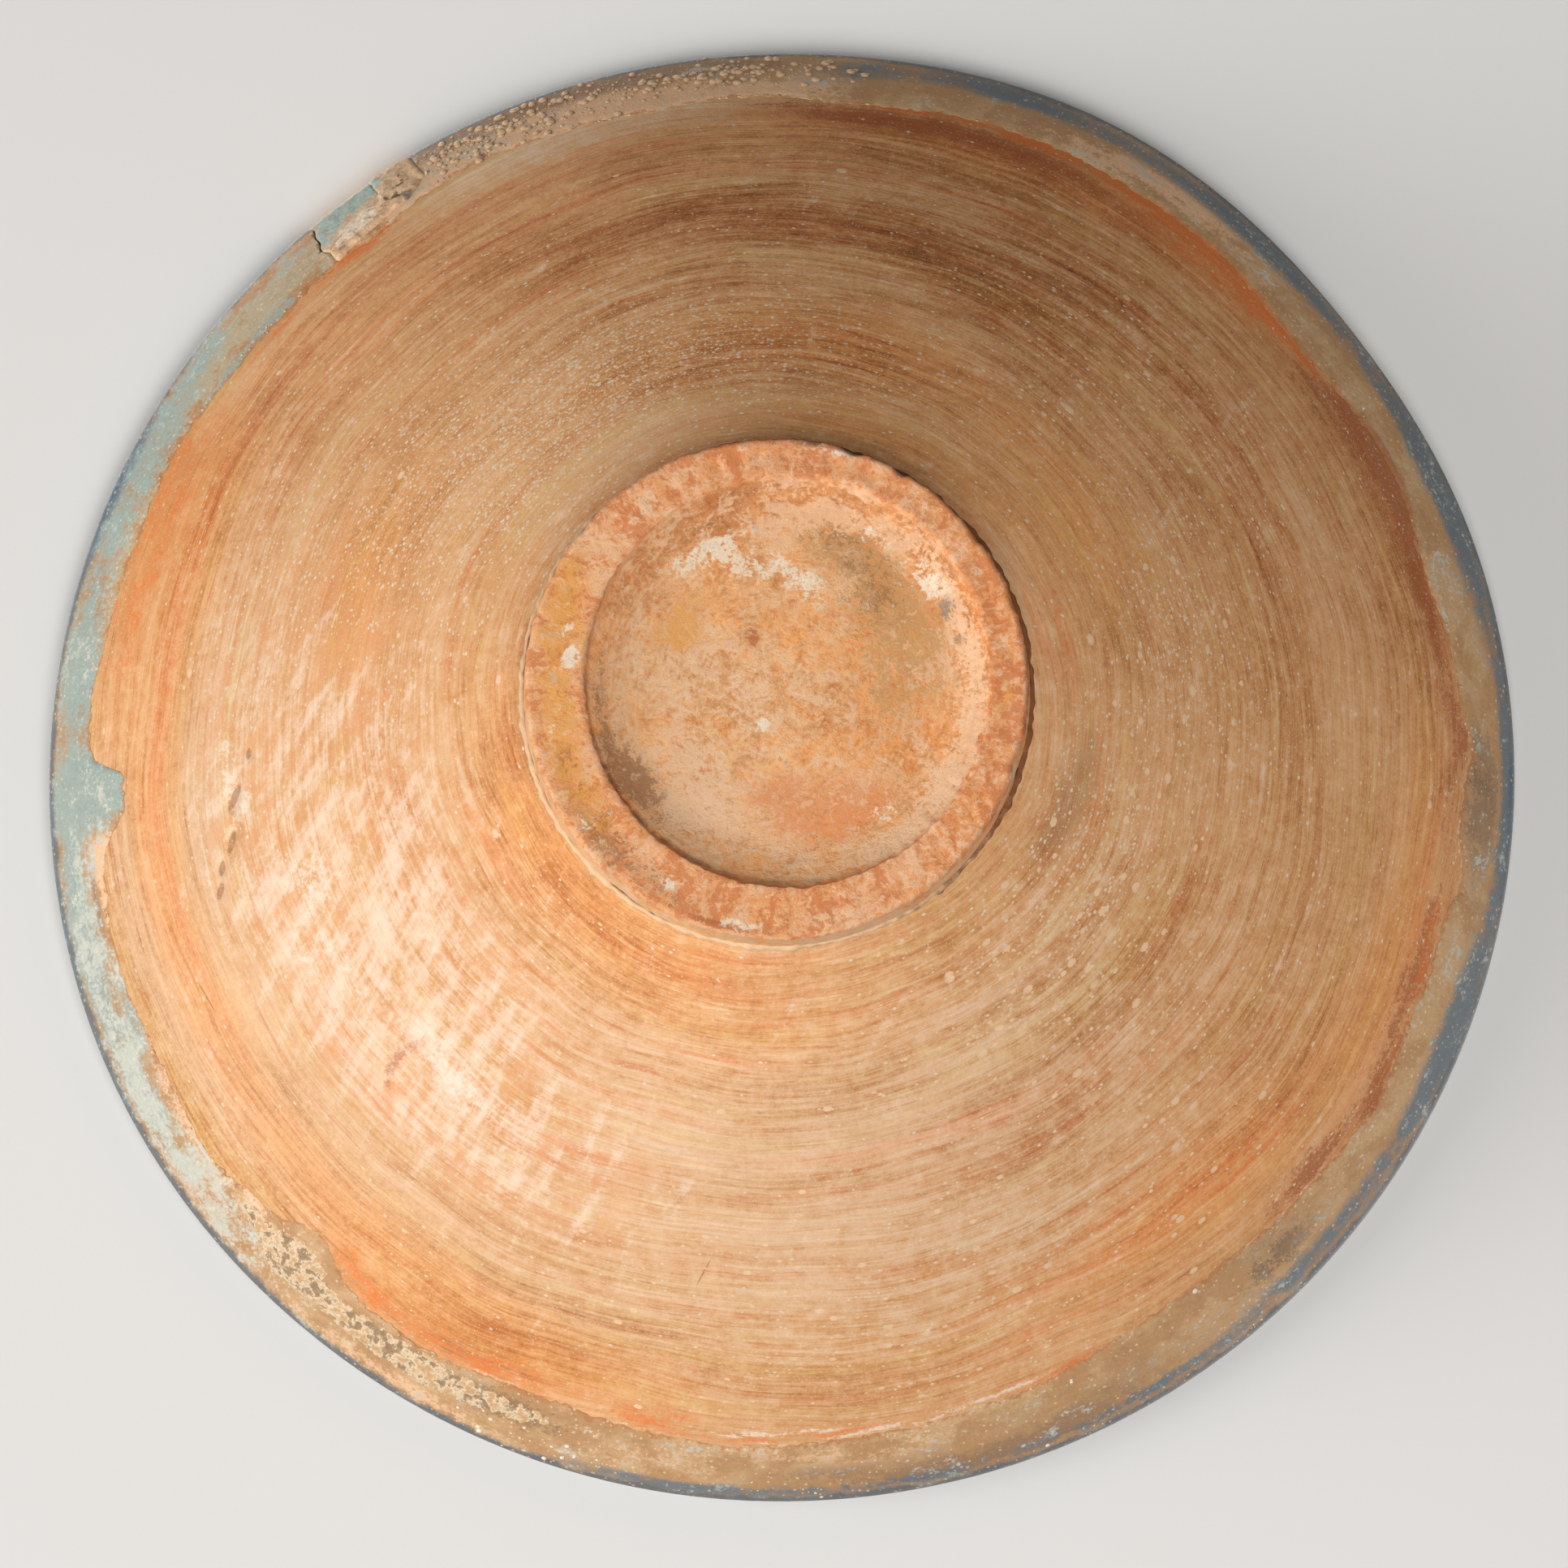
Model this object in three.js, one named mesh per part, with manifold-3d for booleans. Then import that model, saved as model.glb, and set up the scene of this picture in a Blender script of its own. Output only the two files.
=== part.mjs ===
// A wide flaring terracotta bowl: a thrown body on an applied foot ring, coated inside with white slip and
// turquoise glaze that runs over the lip, with one broken piece of rim set back in filler.
// Millimetres, +Z up, origin at the middle of the face that the foot ring stands on.

import * as THREE from 'three'
import { mergeVertices } from 'three/addons/utils/BufferGeometryUtils.js'
import Module from 'manifold-3d'

const wasm = await Module()
wasm.setup()

// Overall sizes, over the glaze
const rimDiameter = 260
const bowlHeight = 95

// Clay body
const rimWall = 5
const footWall = 7.5
const wallBulge = 3.8
const floorThickness = 6.5
const floorBendRise = 3

// Foot ring and the recess inside it
const footDiameter = 82
const footTopDiameter = 83
const footHeight = 8
const footEdgeRound = 0.8
const recessDiameter = 67
const recessDepth = 5
const recessSlopeWidth = 6
const recessShiftX = 1.9
const recessShiftY = -1.05

// Slip that beds the foot ring on the body
const lutingThickness = 0.8
const lutingBead = 1.2

// Coats
const slipThickness = 0.5
const slipFeather = 0.15
const glazeThickness = 0.7
const layerGap = 0.1

// Outer edge of the glaze: how far it laps down the outside, and where it runs or draws back
const lapMean = 14.5
const lapRipple = 0.5
const rippleWaves = [11, 29]
const lapMargin = 3
const glazeRuns = [
  { angle: 176.8, spread: 2.5, drop: 8.6 },
  { angle: 133.5, spread: 3, drop: 5.2 },
  { angle: -40, spread: 8, drop: 3.5 },
  { angle: -83, spread: 7, drop: 2.6 },
  { angle: -57, spread: 5, drop: 1.6 },
  { angle: -16, spread: 5, drop: 2.6 },
  { angle: -27, spread: 3, drop: -0.8 },
  { angle: -0.8, spread: 2.6, drop: -3.8 },
  { angle: 10.2, spread: 2.4, drop: -3 },
  { angle: 31, spread: 3.5, drop: -1.6 },
  { angle: 55, spread: 13, drop: 3.6 },
  { angle: 95, spread: 10, drop: -2.2 },
  { angle: 122, spread: 7, drop: -2.2 },
  { angle: 146, spread: 4.5, drop: -3.4 },
  { angle: 162, spread: 7, drop: -2.2 },
  { angle: -174, spread: 5, drop: -4 },
  { angle: -153, spread: 6, drop: -2.6 },
  { angle: -138, spread: 5, drop: 0.9 },
  { angle: -123, spread: 6, drop: 1.8 },
  { angle: -104, spread: 7, drop: 1.6 },
]

// Broken rim: outlines on the outside of the wall, as millimetres along the rim and down from the lip
const breakAngle = -127
const breakReach = 12
const mendGap = 0.3
const notchOutline = [
  [-10, -breakReach],
  [-10, 15.5],
  [-4, 14.5],
  [7, 13],
  [12.5, 9],
  [13.5, -breakReach],
]
const sherdOutline = [
  [-10, -breakReach],
  [-10, 12],
  [-2.3, 8.5],
  [4.2, 5.5],
  [5, -breakReach],
]

// Facets
const facets = 64
const edgeFacets = 180
const wallSteps = 5
const bendSteps = 3
const wallSearchStep = 0.01
const mergeDistance = 1e-4

const glazeBlue = new THREE.MeshStandardMaterial({ color: 0x7fa9a8, roughness: 0.35, metalness: 0 })
const bareClay = new THREE.MeshStandardMaterial({ color: 0xd9955c, roughness: 0.9, metalness: 0 })
const wornClay = new THREE.MeshStandardMaterial({ color: 0xc9804f, roughness: 0.85, metalness: 0 })
const whiteSlip = new THREE.MeshStandardMaterial({ color: 0xe6dccb, roughness: 0.9, metalness: 0 })
const buffSlip = new THREE.MeshStandardMaterial({ color: 0xd8c3a4, roughness: 0.95, metalness: 0 })
const buffFill = new THREE.MeshStandardMaterial({ color: 0xcfae86, roughness: 0.95, metalness: 0 })

const vec = (r, z) => new THREE.Vector2(r, z)
const along = (point, direction, distance) => point.clone().addScaledVector(direction, distance)
const radians = THREE.MathUtils.degToRad

// Revolved and boolean solids

function revolve(profile, segments = facets) {
  return new THREE.LatheGeometry(profile, segments).rotateX(Math.PI / 2)
}

function solidOf(geometry) {
  const bare = geometry.clone()
  bare.deleteAttribute('normal')
  bare.deleteAttribute('uv')
  const merged = mergeVertices(bare.index ? bare.toNonIndexed() : bare, mergeDistance)
  const corners = merged.index.array
  const triangles = []
  for (let i = 0; i < corners.length; i += 3) {
    const [a, b, c] = corners.slice(i, i + 3)
    if (a !== b && b !== c && c !== a) triangles.push(a, b, c)
  }
  return new wasm.Manifold(
    new wasm.Mesh({
      numProp: 3,
      vertProperties: new Float32Array(merged.attributes.position.array),
      triVerts: new Uint32Array(triangles),
    }),
  )
}

function geometryOf(solid) {
  const mesh = solid.getMesh()
  const geometry = new THREE.BufferGeometry()
  geometry.setAttribute('position', new THREE.BufferAttribute(mesh.vertProperties.slice(), 3))
  geometry.setIndex(new THREE.BufferAttribute(mesh.triVerts.slice(), 1))
  geometry.computeVertexNormals()
  return geometry
}

// Section of the clay body

const lipRadius = rimWall / 2
const insideCoat = 2 * layerGap + slipThickness + glazeThickness
const outsideCoat = layerGap + glazeThickness
const lipCentre = vec(rimDiameter / 2 - lipRadius - outsideCoat, bowlHeight - lipRadius - insideCoat)

const lutingBed = lutingThickness + 2 * layerGap
const recessTopRadius = recessDiameter / 2 - recessSlopeWidth
const baseRadius = recessTopRadius + Math.hypot(recessShiftX, recessShiftY)
const shoulder = vec(footTopDiameter / 2, footHeight + lutingBed)

const chord = lipCentre.clone().sub(shoulder)
const chordNormal = vec(chord.y, -chord.x).normalize()
const wallControl = along(shoulder.clone().addScaledVector(chord, 0.5), chordNormal, 2 * wallBulge)
const rimTangent = lipCentre.clone().sub(wallControl).normalize()
const rimNormal = vec(rimTangent.y, -rimTangent.x)
const wallTop = along(lipCentre, rimNormal, lipRadius)
const outerWall = new THREE.QuadraticBezierCurve(shoulder, along(wallControl, rimNormal, lipRadius), wallTop)

function outerStation(u) {
  const point = outerWall.getPointAt(u)
  const tangent = outerWall.getTangentAt(u)
  return { point, normal: vec(tangent.y, -tangent.x) }
}

function innerStation(u) {
  const outer = outerStation(u)
  const thickness = THREE.MathUtils.lerp(footWall, rimWall, u)
  return { point: along(outer.point, outer.normal, -thickness), normal: outer.normal.clone().negate() }
}

function lipStation(angle) {
  const normal = vec(Math.cos(angle), Math.sin(angle))
  return { point: along(lipCentre, normal, lipRadius), normal }
}

// The floor is flat in the middle and bends up into the wall, where the wall has risen clear of it.
const floorHeight = recessDepth + floorThickness

function floorStations() {
  let start = 0
  while (innerStation(start).point.y < floorHeight + floorBendRise) start += wallSearchStep
  const end = innerStation(start)
  const slope = vec(end.normal.y, -end.normal.x)
  const corner = along(end.point, slope, (floorHeight - end.point.y) / slope.y)
  const flatEdge = vec(corner.x - corner.distanceTo(end.point), floorHeight)
  const bend = new THREE.QuadraticBezierCurve(flatEdge, corner, end.point)
  const stations = [{ point: vec(0, floorHeight), normal: vec(0, 1) }]
  for (let i = 0; i < bendSteps; i++) {
    const tangent = bend.getTangent(i / bendSteps)
    stations.push({ point: bend.getPoint(i / bendSteps), normal: vec(-tangent.y, tangent.x) })
  }
  return { stations, start }
}

const floor = floorStations()
const innerWall = []
for (let i = 0; i < wallSteps; i++) {
  innerWall.push(innerStation(THREE.MathUtils.lerp(floor.start, 1, i / wallSteps)))
}

const insideAngle = Math.atan2(-rimNormal.y, -rimNormal.x)
const crownAngle = Math.PI / 2
const lipInside = [insideAngle, (insideAngle + crownAngle) / 2, crownAngle].map(lipStation)
const lipOutside = [crownAngle / 2, 0].map(lipStation)

const lapReach = lapMean + lapRipple + lapMargin + Math.max(...glazeRuns.map((run) => run.drop))
const lapEnd = 1 - lapReach / outerWall.getLength()
const outerLap = [1, (1 + lapEnd) / 2, lapEnd].map(outerStation)
const outerBelow = []
for (let i = 1; i <= wallSteps; i++) outerBelow.push(outerStation(lapEnd * (1 - i / wallSteps)))

// Every station from the middle of the floor, up the inside and over the lip to the longest run outside.
const insideRun = [...floor.stations, ...innerWall, ...lipInside]
const coatRun = [...insideRun, ...lipOutside, ...outerLap]

const offsetOf = (station, distance) => along(station.point, station.normal, distance)

function offsetRun(stations, offsets) {
  return stations.map((station, i) => {
    const point = offsetOf(station, offsets[i])
    return i === 0 ? vec(0, point.y) : point
  })
}

// Broken rim: a frame on the wall at the break, with x along the rim, y down the wall and z into the bowl

function breakFrame() {
  const angle = radians(breakAngle)
  const place = (r, z) => new THREE.Vector3(r * Math.cos(angle), r * Math.sin(angle), z)
  const alongRim = new THREE.Vector3(-Math.sin(angle), Math.cos(angle), 0)
  const downWall = place(-rimTangent.x, -rimTangent.y)
  const inward = place(-rimNormal.x, -rimNormal.y)
  return new THREE.Matrix4()
    .makeBasis(alongRim, downWall, inward)
    .setPosition(place(wallTop.x, wallTop.y))
}

// Moves each side of a convex outline inwards by the distance, and meets the sides again at the corners.
function inset(outline, distance) {
  const points = outline.map(([x, y]) => vec(x, y))
  const turn = Math.sign(THREE.ShapeUtils.area(points))
  const sides = points.map((point, i) => {
    const direction = points[(i + 1) % points.length].clone().sub(point).normalize()
    return { point: along(point, vec(-direction.y, direction.x), turn * distance), direction }
  })
  return sides.map((side, i) => {
    const before = sides[(i + sides.length - 1) % sides.length]
    const gap = side.point.clone().sub(before.point)
    const reach = gap.cross(side.direction) / before.direction.cross(side.direction)
    return along(before.point, before.direction, reach)
  })
}

function breakSolid(outline, distance) {
  const shape = new THREE.Shape(inset(outline, distance))
  const outward = breakReach
  const depth = outward + rimWall + breakReach
  const block = new THREE.ExtrudeGeometry(shape, { depth, bevelEnabled: false }).translate(0, 0, -outward)
  return solidOf(block.applyMatrix4(breakFrame()))
}

const notch = breakSolid(notchOutline, 0)

// Finished rim, glaze and all, from which the sherd and its filler are cut
function finishedRim() {
  const inside = [...innerWall.slice(-2), ...lipInside].map((station) => offsetOf(station, insideCoat))
  const outside = [...lipOutside, ...outerLap].map((station) => offsetOf(station, outsideCoat))
  const section = [...inside, ...outside].reverse()
  return solidOf(revolve([...section, section[0].clone()]))
}

// Pieces

function thrownBody() {
  const profile = [
    vec(0, recessDepth),
    vec(baseRadius, recessDepth),
    ...[...coatRun, ...outerBelow].reverse().map((station) => station.point),
  ]
  return geometryOf(solidOf(revolve(profile)).subtract(notch))
}

function undersideHeight(radius) {
  const share = (radius - baseRadius) / (shoulder.x - baseRadius)
  return recessDepth + Math.max(0, share) * (shoulder.y - recessDepth)
}

function footRing() {
  const disc = revolve([
    vec(0, 0),
    vec(footDiameter / 2 - footEdgeRound, 0),
    vec(footDiameter / 2, footEdgeRound),
    vec(shoulder.x, footHeight),
    vec(baseRadius, recessDepth - lutingBed),
    vec(0, recessDepth - lutingBed),
  ])
  const flare = recessSlopeWidth / recessDepth
  const recess = revolve([
    vec(0, -recessDepth),
    vec(recessDiameter / 2 + flare * recessDepth, -recessDepth),
    vec(recessTopRadius, recessDepth),
    vec(0, recessDepth),
  ]).translate(recessShiftX, recessShiftY, 0)
  return geometryOf(solidOf(disc).subtract(solidOf(recess)))
}

function footLutingSlip() {
  const inner = baseRadius + lutingBead
  const below = (radius) => undersideHeight(radius) - lutingBed + layerGap
  const wall = outerStation(lutingBead / outerWall.getLength())
  const beadTop = offsetOf(wall, layerGap)
  const corner = along(shoulder, outerStation(0).normal, layerGap)
  const section = [
    vec(inner, below(inner)),
    vec(shoulder.x, below(shoulder.x)),
    vec(shoulder.x + lutingBead, below(shoulder.x)),
    vec(shoulder.x + lutingBead, beadTop.y),
    beadTop,
    vec(corner.x, corner.y - layerGap),
    vec(inner, undersideHeight(inner) - layerGap),
  ]
  return revolve([...section, section[0].clone()])
}

function slipCoat() {
  const stations = [...insideRun, ...lipOutside]
  const thickness = stations.map((_, i) => (i < insideRun.length ? slipThickness : slipFeather))
  const under = offsetRun(stations, stations.map(() => layerGap))
  const over = offsetRun(stations, thickness.map((t) => layerGap + t))
  return geometryOf(solidOf(revolve([...under, ...over.reverse()])).subtract(notch))
}

function lapAt(angle) {
  let lap = lapMean
  for (const waves of rippleWaves) {
    lap += (lapRipple / rippleWaves.length) * Math.sin(radians(waves * angle))
  }
  for (const run of glazeRuns) {
    const away = THREE.MathUtils.euclideanModulo(angle - run.angle + 180, 360) - 180
    lap += run.drop * Math.exp(-((away / run.spread) ** 2))
  }
  return lap
}

// All that lies outside the wall and below the wavy edge of the glaze
function belowGlazeEdge() {
  const wallPoint = (down, out) => along(along(wallTop, rimTangent, -down), rimNormal, out)
  const bottom = lapReach + breakReach
  const section = [
    wallPoint(0, -lipRadius),
    wallPoint(bottom, -lipRadius),
    wallPoint(bottom, breakReach),
    wallPoint(0, breakReach),
  ]
  const ring = revolve([...section, section[0].clone()], edgeFacets)
  const position = ring.attributes.position
  const upperEdge = new Set([0, section.length - 1, section.length])
  for (let i = 0; i < position.count; i++) {
    if (!upperEdge.has(i % (section.length + 1))) continue
    const around = Math.atan2(position.getY(i), position.getX(i))
    const lap = lapAt(THREE.MathUtils.radToDeg(around))
    position.setX(i, position.getX(i) - lap * rimTangent.x * Math.cos(around))
    position.setY(i, position.getY(i) - lap * rimTangent.x * Math.sin(around))
    position.setZ(i, position.getZ(i) - lap * rimTangent.y)
  }
  return solidOf(ring)
}

function glazeCoat() {
  const slipEnd = insideRun.length + lipOutside.length
  const lower = coatRun.map((_, i) => {
    if (i < insideRun.length) return 2 * layerGap + slipThickness
    return i < slipEnd ? 2 * layerGap + slipFeather : layerGap
  })
  const upper = coatRun.map((_, i) => (i < insideRun.length ? insideCoat : outsideCoat))
  const under = offsetRun(coatRun, lower)
  const over = offsetRun(coatRun, upper)
  const coat = solidOf(revolve([...under, ...over.reverse()]))
  return geometryOf(coat.subtract(belowGlazeEdge()).subtract(notch))
}

function rimSherd() {
  return geometryOf(finishedRim().intersect(breakSolid(sherdOutline, mendGap)))
}

function mendFill() {
  const filling = breakSolid(notchOutline, mendGap).subtract(breakSolid(sherdOutline, 0))
  return geometryOf(finishedRim().intersect(filling))
}

const pieces = [
  ['thrown_body', thrownBody(), bareClay],
  ['foot_ring', footRing(), wornClay],
  ['foot_luting_slip', footLutingSlip(), buffSlip],
  ['slip_coat', slipCoat(), whiteSlip],
  ['glaze_coat', glazeCoat(), glazeBlue],
  ['rim_sherd', rimSherd(), glazeBlue],
  ['mend_fill', mendFill(), buffFill],
]

const bowl = new THREE.Group()
for (const [name, geometry, material] of pieces) {
  const mesh = new THREE.Mesh(geometry, material)
  mesh.name = name
  bowl.add(mesh)
}

export default bowl
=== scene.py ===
"""The looks of a wide flaring terracotta bowl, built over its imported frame.

Metres, +Z up, with the origin in the middle of the face that the foot ring stands on. Angles are degrees
from +X towards +Y. The main view looks up at the underside, so +X is to the right there and +Y is down.
"""

import math

import bmesh
import bpy
import numpy as np
from mathutils import Matrix, Vector


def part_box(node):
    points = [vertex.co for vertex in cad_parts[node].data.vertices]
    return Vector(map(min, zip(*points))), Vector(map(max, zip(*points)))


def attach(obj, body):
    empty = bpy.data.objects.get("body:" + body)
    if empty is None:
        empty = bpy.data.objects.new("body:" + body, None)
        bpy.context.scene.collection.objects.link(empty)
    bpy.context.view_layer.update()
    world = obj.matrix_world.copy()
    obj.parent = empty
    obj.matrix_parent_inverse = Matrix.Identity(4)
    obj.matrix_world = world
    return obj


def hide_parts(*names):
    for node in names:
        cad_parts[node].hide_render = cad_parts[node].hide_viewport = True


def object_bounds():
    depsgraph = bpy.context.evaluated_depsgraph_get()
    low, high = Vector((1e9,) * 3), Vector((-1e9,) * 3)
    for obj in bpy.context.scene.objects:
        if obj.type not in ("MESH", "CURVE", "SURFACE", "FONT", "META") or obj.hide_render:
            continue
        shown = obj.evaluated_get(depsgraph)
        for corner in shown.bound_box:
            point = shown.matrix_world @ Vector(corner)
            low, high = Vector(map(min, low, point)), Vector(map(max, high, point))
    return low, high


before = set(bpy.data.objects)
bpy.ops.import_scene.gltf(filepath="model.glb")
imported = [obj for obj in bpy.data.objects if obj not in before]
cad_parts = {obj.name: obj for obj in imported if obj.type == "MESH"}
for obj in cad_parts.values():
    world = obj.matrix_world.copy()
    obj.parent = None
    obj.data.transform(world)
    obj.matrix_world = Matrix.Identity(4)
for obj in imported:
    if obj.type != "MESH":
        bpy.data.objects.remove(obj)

cad_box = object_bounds()

MM = 0.001

# Sizes, from the frame where it shows them
rim_radius = cad_box[1].x
bowl_height = cad_box[1].z
foot_top_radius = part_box("foot_ring")[1].x
foot_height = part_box("foot_ring")[1].z
base_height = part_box("thrown_body")[0].z

foot_radius = 41.0 * MM
foot_edge_round = 0.8 * MM
foot_centre = np.array([-0.9, -0.5]) * MM
recess_radius = 33.5 * MM
recess_oval = 0.45 * MM
recess_centre = np.array([0.9, -1.4]) * MM
recess_step = 0.9 * MM
recess_step_width = 0.5 * MM
dish_width = 8.5 * MM
dish_seam = 27.2 * MM
seam_depth = 0.015 * MM
wall_at_rim = 5.0 * MM
wall_at_foot = 7.5 * MM
wall_bulge = 3.8 * MM
floor_height = 11.5 * MM
floor_edge = 25.3 * MM
axis_hole = 0.6 * MM
base_middle = 23.0 * MM
base_edge = 29.7 * MM
foot_back = 28.8 * MM
layer_gap = 0.1 * MM
slip_thickness = 0.5 * MM
glaze_thickness = 0.7 * MM
luting_bed = 1.0 * MM
coat_inside = slip_thickness + glaze_thickness + 2 * layer_gap
coat_outside = glaze_thickness + layer_gap

# Over how much of its edge the glaze thins out, and how thin it is there
edge_feather = 1.6 * MM
edge_thinning = 9.0 * MM
thinnest_share = 0.15

# How far the foot's outer edge, its inner edge and its face waver, in mm
foot_edge_waver = 0.12
recess_edge_waver = 0.14
foot_face_waver = 0.1

# The base behind the foot ring's slope, which starts a little past their seam and lies deeper
tuck_start = 0.3 * MM
tuck_width = 1.2 * MM
tuck_depth = 0.4 * MM

# Outer edge of the glaze: how far it laps down the outside, in mm, with its runs as (direction, spread in
# degrees, drop in mm)
lap_mean = 14.5
lap_runs = [
    (178, 1.3, 6.5), (175.4, 2.2, 7.5), (133.5, 3, 5.2), (-40, 8, 3), (-83, 7, 2.8), (-57, 5, 1.4),
    (-68, 6, 0.9), (-16, 5, 2.4), (-27, 3, -0.8), (-0.8, 2.6, -3.2), (10.2, 2.4, -2.8), (31, 3.5, -1.6),
    (55, 13, 3.6), (95, 10, -2.4), (122, 7, -2.2), (146, 4.5, -3.4), (162, 9, -3.2), (-176, 6, -4.6),
    (-164, 6, -2.2), (-153, 5, -2.4), (-138, 5, 0.9), (-128, 4, 1.6), (-117, 5, -1.2), (-102, 7, 1.6),
]
lap_waves = [29, 43, 67, 91, 143, 187, 211, 263, 307, 359, 401]
lap_wave_height = 0.42

# How far the rim strays from a true circle, as (direction, spread in degrees, mm outwards)
rim_drift = [
    (-65, 14, 1.2), (-36, 13, -1.1), (155, 22, 0.8), (-140, 18, -0.6), (-100, 18, -0.3), (85, 26, -0.4),
]

# The broken place in the rim: its outline on the wall as mm along the rim and down from the lip, and how
# finely its pieces are meshed
break_angle = -127
break_reach = 12
crack_side = -10
crack_end = 15.5
crack_fade = 4
mend_voxel = 0.33 * MM


def crack_line(down):
    """How far the crack beside the sherd strays along the rim, in mm, by mm down from the lip."""
    return 0.55 * np.sin(down / 2.1 + 0.6) + 0.3 * np.sin(down / 0.83)


crack_points = [(crack_side + crack_line(down), down) for down in np.linspace(-break_reach, crack_end, 24)]
notch_outline = [*crack_points, (-4, 14.5), (7, 13), (12.5, 9), (13.5, -break_reach)]


# Shapes of the section

def unit(vector):
    return vector / np.linalg.norm(vector)


def right_of(vector):
    return np.array([vector[1], -vector[0]])


lip_radius = wall_at_rim / 2
lip_centre = np.array([rim_radius - lip_radius - coat_outside, bowl_height - lip_radius - coat_inside])
shoulder = np.array([foot_top_radius, foot_height + luting_bed])
chord = lip_centre - shoulder
wall_control = shoulder + chord / 2 + unit(right_of(chord)) * 2 * wall_bulge
rim_tangent = unit(lip_centre - wall_control)
rim_normal = right_of(rim_tangent)
wall_top = lip_centre + rim_normal * lip_radius


def wall_table(count=600):
    """Points and outward normals along the outside of the wall, and how far each lies down from the lip."""
    u = np.linspace(1, 0, count)[:, None]
    control = wall_control + rim_normal * lip_radius
    points = (1 - u) ** 2 * shoulder + 2 * u * (1 - u) * control + u * u * wall_top
    tangents = (1 - u) * (control - shoulder) + u * (wall_top - control)
    normals = np.stack([tangents[:, 1], -tangents[:, 0]], 1)
    normals /= np.linalg.norm(normals, axis=1)[:, None]
    steps = np.linalg.norm(np.diff(points, axis=0), axis=1)
    return points, normals, np.concatenate([[0], np.cumsum(steps)])


wall_points, wall_normals, wall_down = wall_table()
wall_length = wall_down[-1]
wall_end = 0.955 * wall_length


def along_wall(table, down):
    """The points or normals of the wall at distances down from the lip."""
    return np.stack([np.interp(down, wall_down, table[:, i]) for i in (0, 1)], -1)


def outside(down, out=0.0):
    """(radius, height) on the outside of the wall, a distance down from the lip and out from the clay."""
    normals = along_wall(wall_normals, down)
    return along_wall(wall_points, down) + normals * np.asarray(out)[..., None]


def inside(down, out=0.0):
    """(radius, height) on the inside of the wall, opposite the place that is that far down the outside."""
    normals = along_wall(wall_normals, down)
    thickness = wall_at_rim + (wall_at_foot - wall_at_rim) * np.asarray(down) / wall_length
    return along_wall(wall_points, down) - normals * (thickness + out)[..., None]


def lip(turn, out=0.0):
    """(radius, height) on the lip. Turn goes from 0 at the outside of the wall to 1 at the inside."""
    start = math.atan2(rim_normal[1], rim_normal[0])
    angle = start + np.asarray(turn) * math.pi
    ray = np.stack([np.cos(angle), np.sin(angle)], -1)
    return lip_centre + ray * (lip_radius + np.asarray(out)[..., None])


def dish(distance):
    """Height of the recess by distance from its middle: a step at its edge, then a shallow bowl."""
    inwards = recess_radius - distance
    step = recess_step * np.clip(inwards / recess_step_width, 0, 1)
    hollow = np.clip(inwards / dish_width, 0, 1)
    return step + (base_height - recess_step) * (1 - (1 - hollow) ** 2)


# Wavering lines and soft patches

def waves(angle, counts, seed):
    """A seamless wavering line round the bowl, about -1 to 1, from one cosine for each count of waves."""
    phases = np.random.default_rng(seed).uniform(0, 2 * math.pi, len(counts))
    return sum(np.cos(n * angle + p) for n, p in zip(counts, phases)) / math.sqrt(len(counts))


def turn_from(angle, degrees):
    """How far each angle lies from a direction, in degrees from -180 to 180."""
    return (np.degrees(angle) - degrees + 180) % 360 - 180


def bumps(angle, runs):
    """The sum of bell-shaped bumps round the bowl, each (direction, spread in degrees, height)."""
    return sum(height * np.exp(-((turn_from(angle, at) / spread) ** 2)) for at, spread, height in runs)


def patches(angle, across, places, reach=None):
    """The sum of soft patches, each (direction, place across, half length round the bowl, half width,
    strength), with sizes in mm. The length is measured at the patch's own radius, which is its place
    across unless reach gives it."""
    amount = np.zeros(np.broadcast(angle, across).shape)
    for at, middle, length, width, strength in places:
        along = np.radians(turn_from(angle, at)) * (reach or middle)
        amount += strength * np.exp(-((along / length) ** 2) - ((across - middle) / width) ** 2)
    return amount


def rim_patches(angle, across, places):
    """The sum of soft patches whose lengths are measured round the rim."""
    return patches(angle, across, places, rim_radius / MM)


def lap_at(angle):
    """How far the glaze laps down the outside at each angle, in metres."""
    ragged = waves(angle, lap_waves, 3) * lap_wave_height
    return (lap_mean + bumps(angle, lap_runs) + ragged) * MM


def angle_of(points):
    """The direction of each point round the axis, in radians."""
    return np.arctan2(points[:, 1], points[:, 0])


def facing(angle, degrees):
    """1 in a direction, 0 at right angles to it and -1 opposite."""
    return np.cos(angle - math.radians(degrees))


def distance_from(points, centre=0.0):
    """How far each point lies from the axis, or from an upright line through a centre."""
    return np.hypot(*(points[:, :2] - centre).T)


def move_out(points, far):
    """Moves each point away from the axis."""
    angle = angle_of(points)
    points[:, 0] += far * np.cos(angle)
    points[:, 1] += far * np.sin(angle)
    return points


def settle(points):
    """Moves points outwards by the rim's drift from a circle, more the higher they lie."""
    drift = (points[:, 2] / bowl_height) ** 2 * bumps(angle_of(points), rim_drift) * MM
    return move_out(points, drift)


# Meshes

def full_turn(count):
    return np.linspace(0, 2 * math.pi, count, endpoint=False)


def all_round(profile, angles):
    """The same (radius, height) stations for all angles."""
    return np.repeat(np.asarray(profile)[:, None, :], len(angles), 1)


def spin(profile, angles):
    """Rings of points from (radius, height) stations, with one of each for each angle."""
    radius, height = profile[..., 0], profile[..., 1]
    return np.stack([radius * np.cos(angles), radius * np.sin(angles), height], -1)


def add_object(name, data):
    made = bpy.data.objects.new(name, data)
    bpy.context.scene.collection.objects.link(made)
    return made


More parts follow.
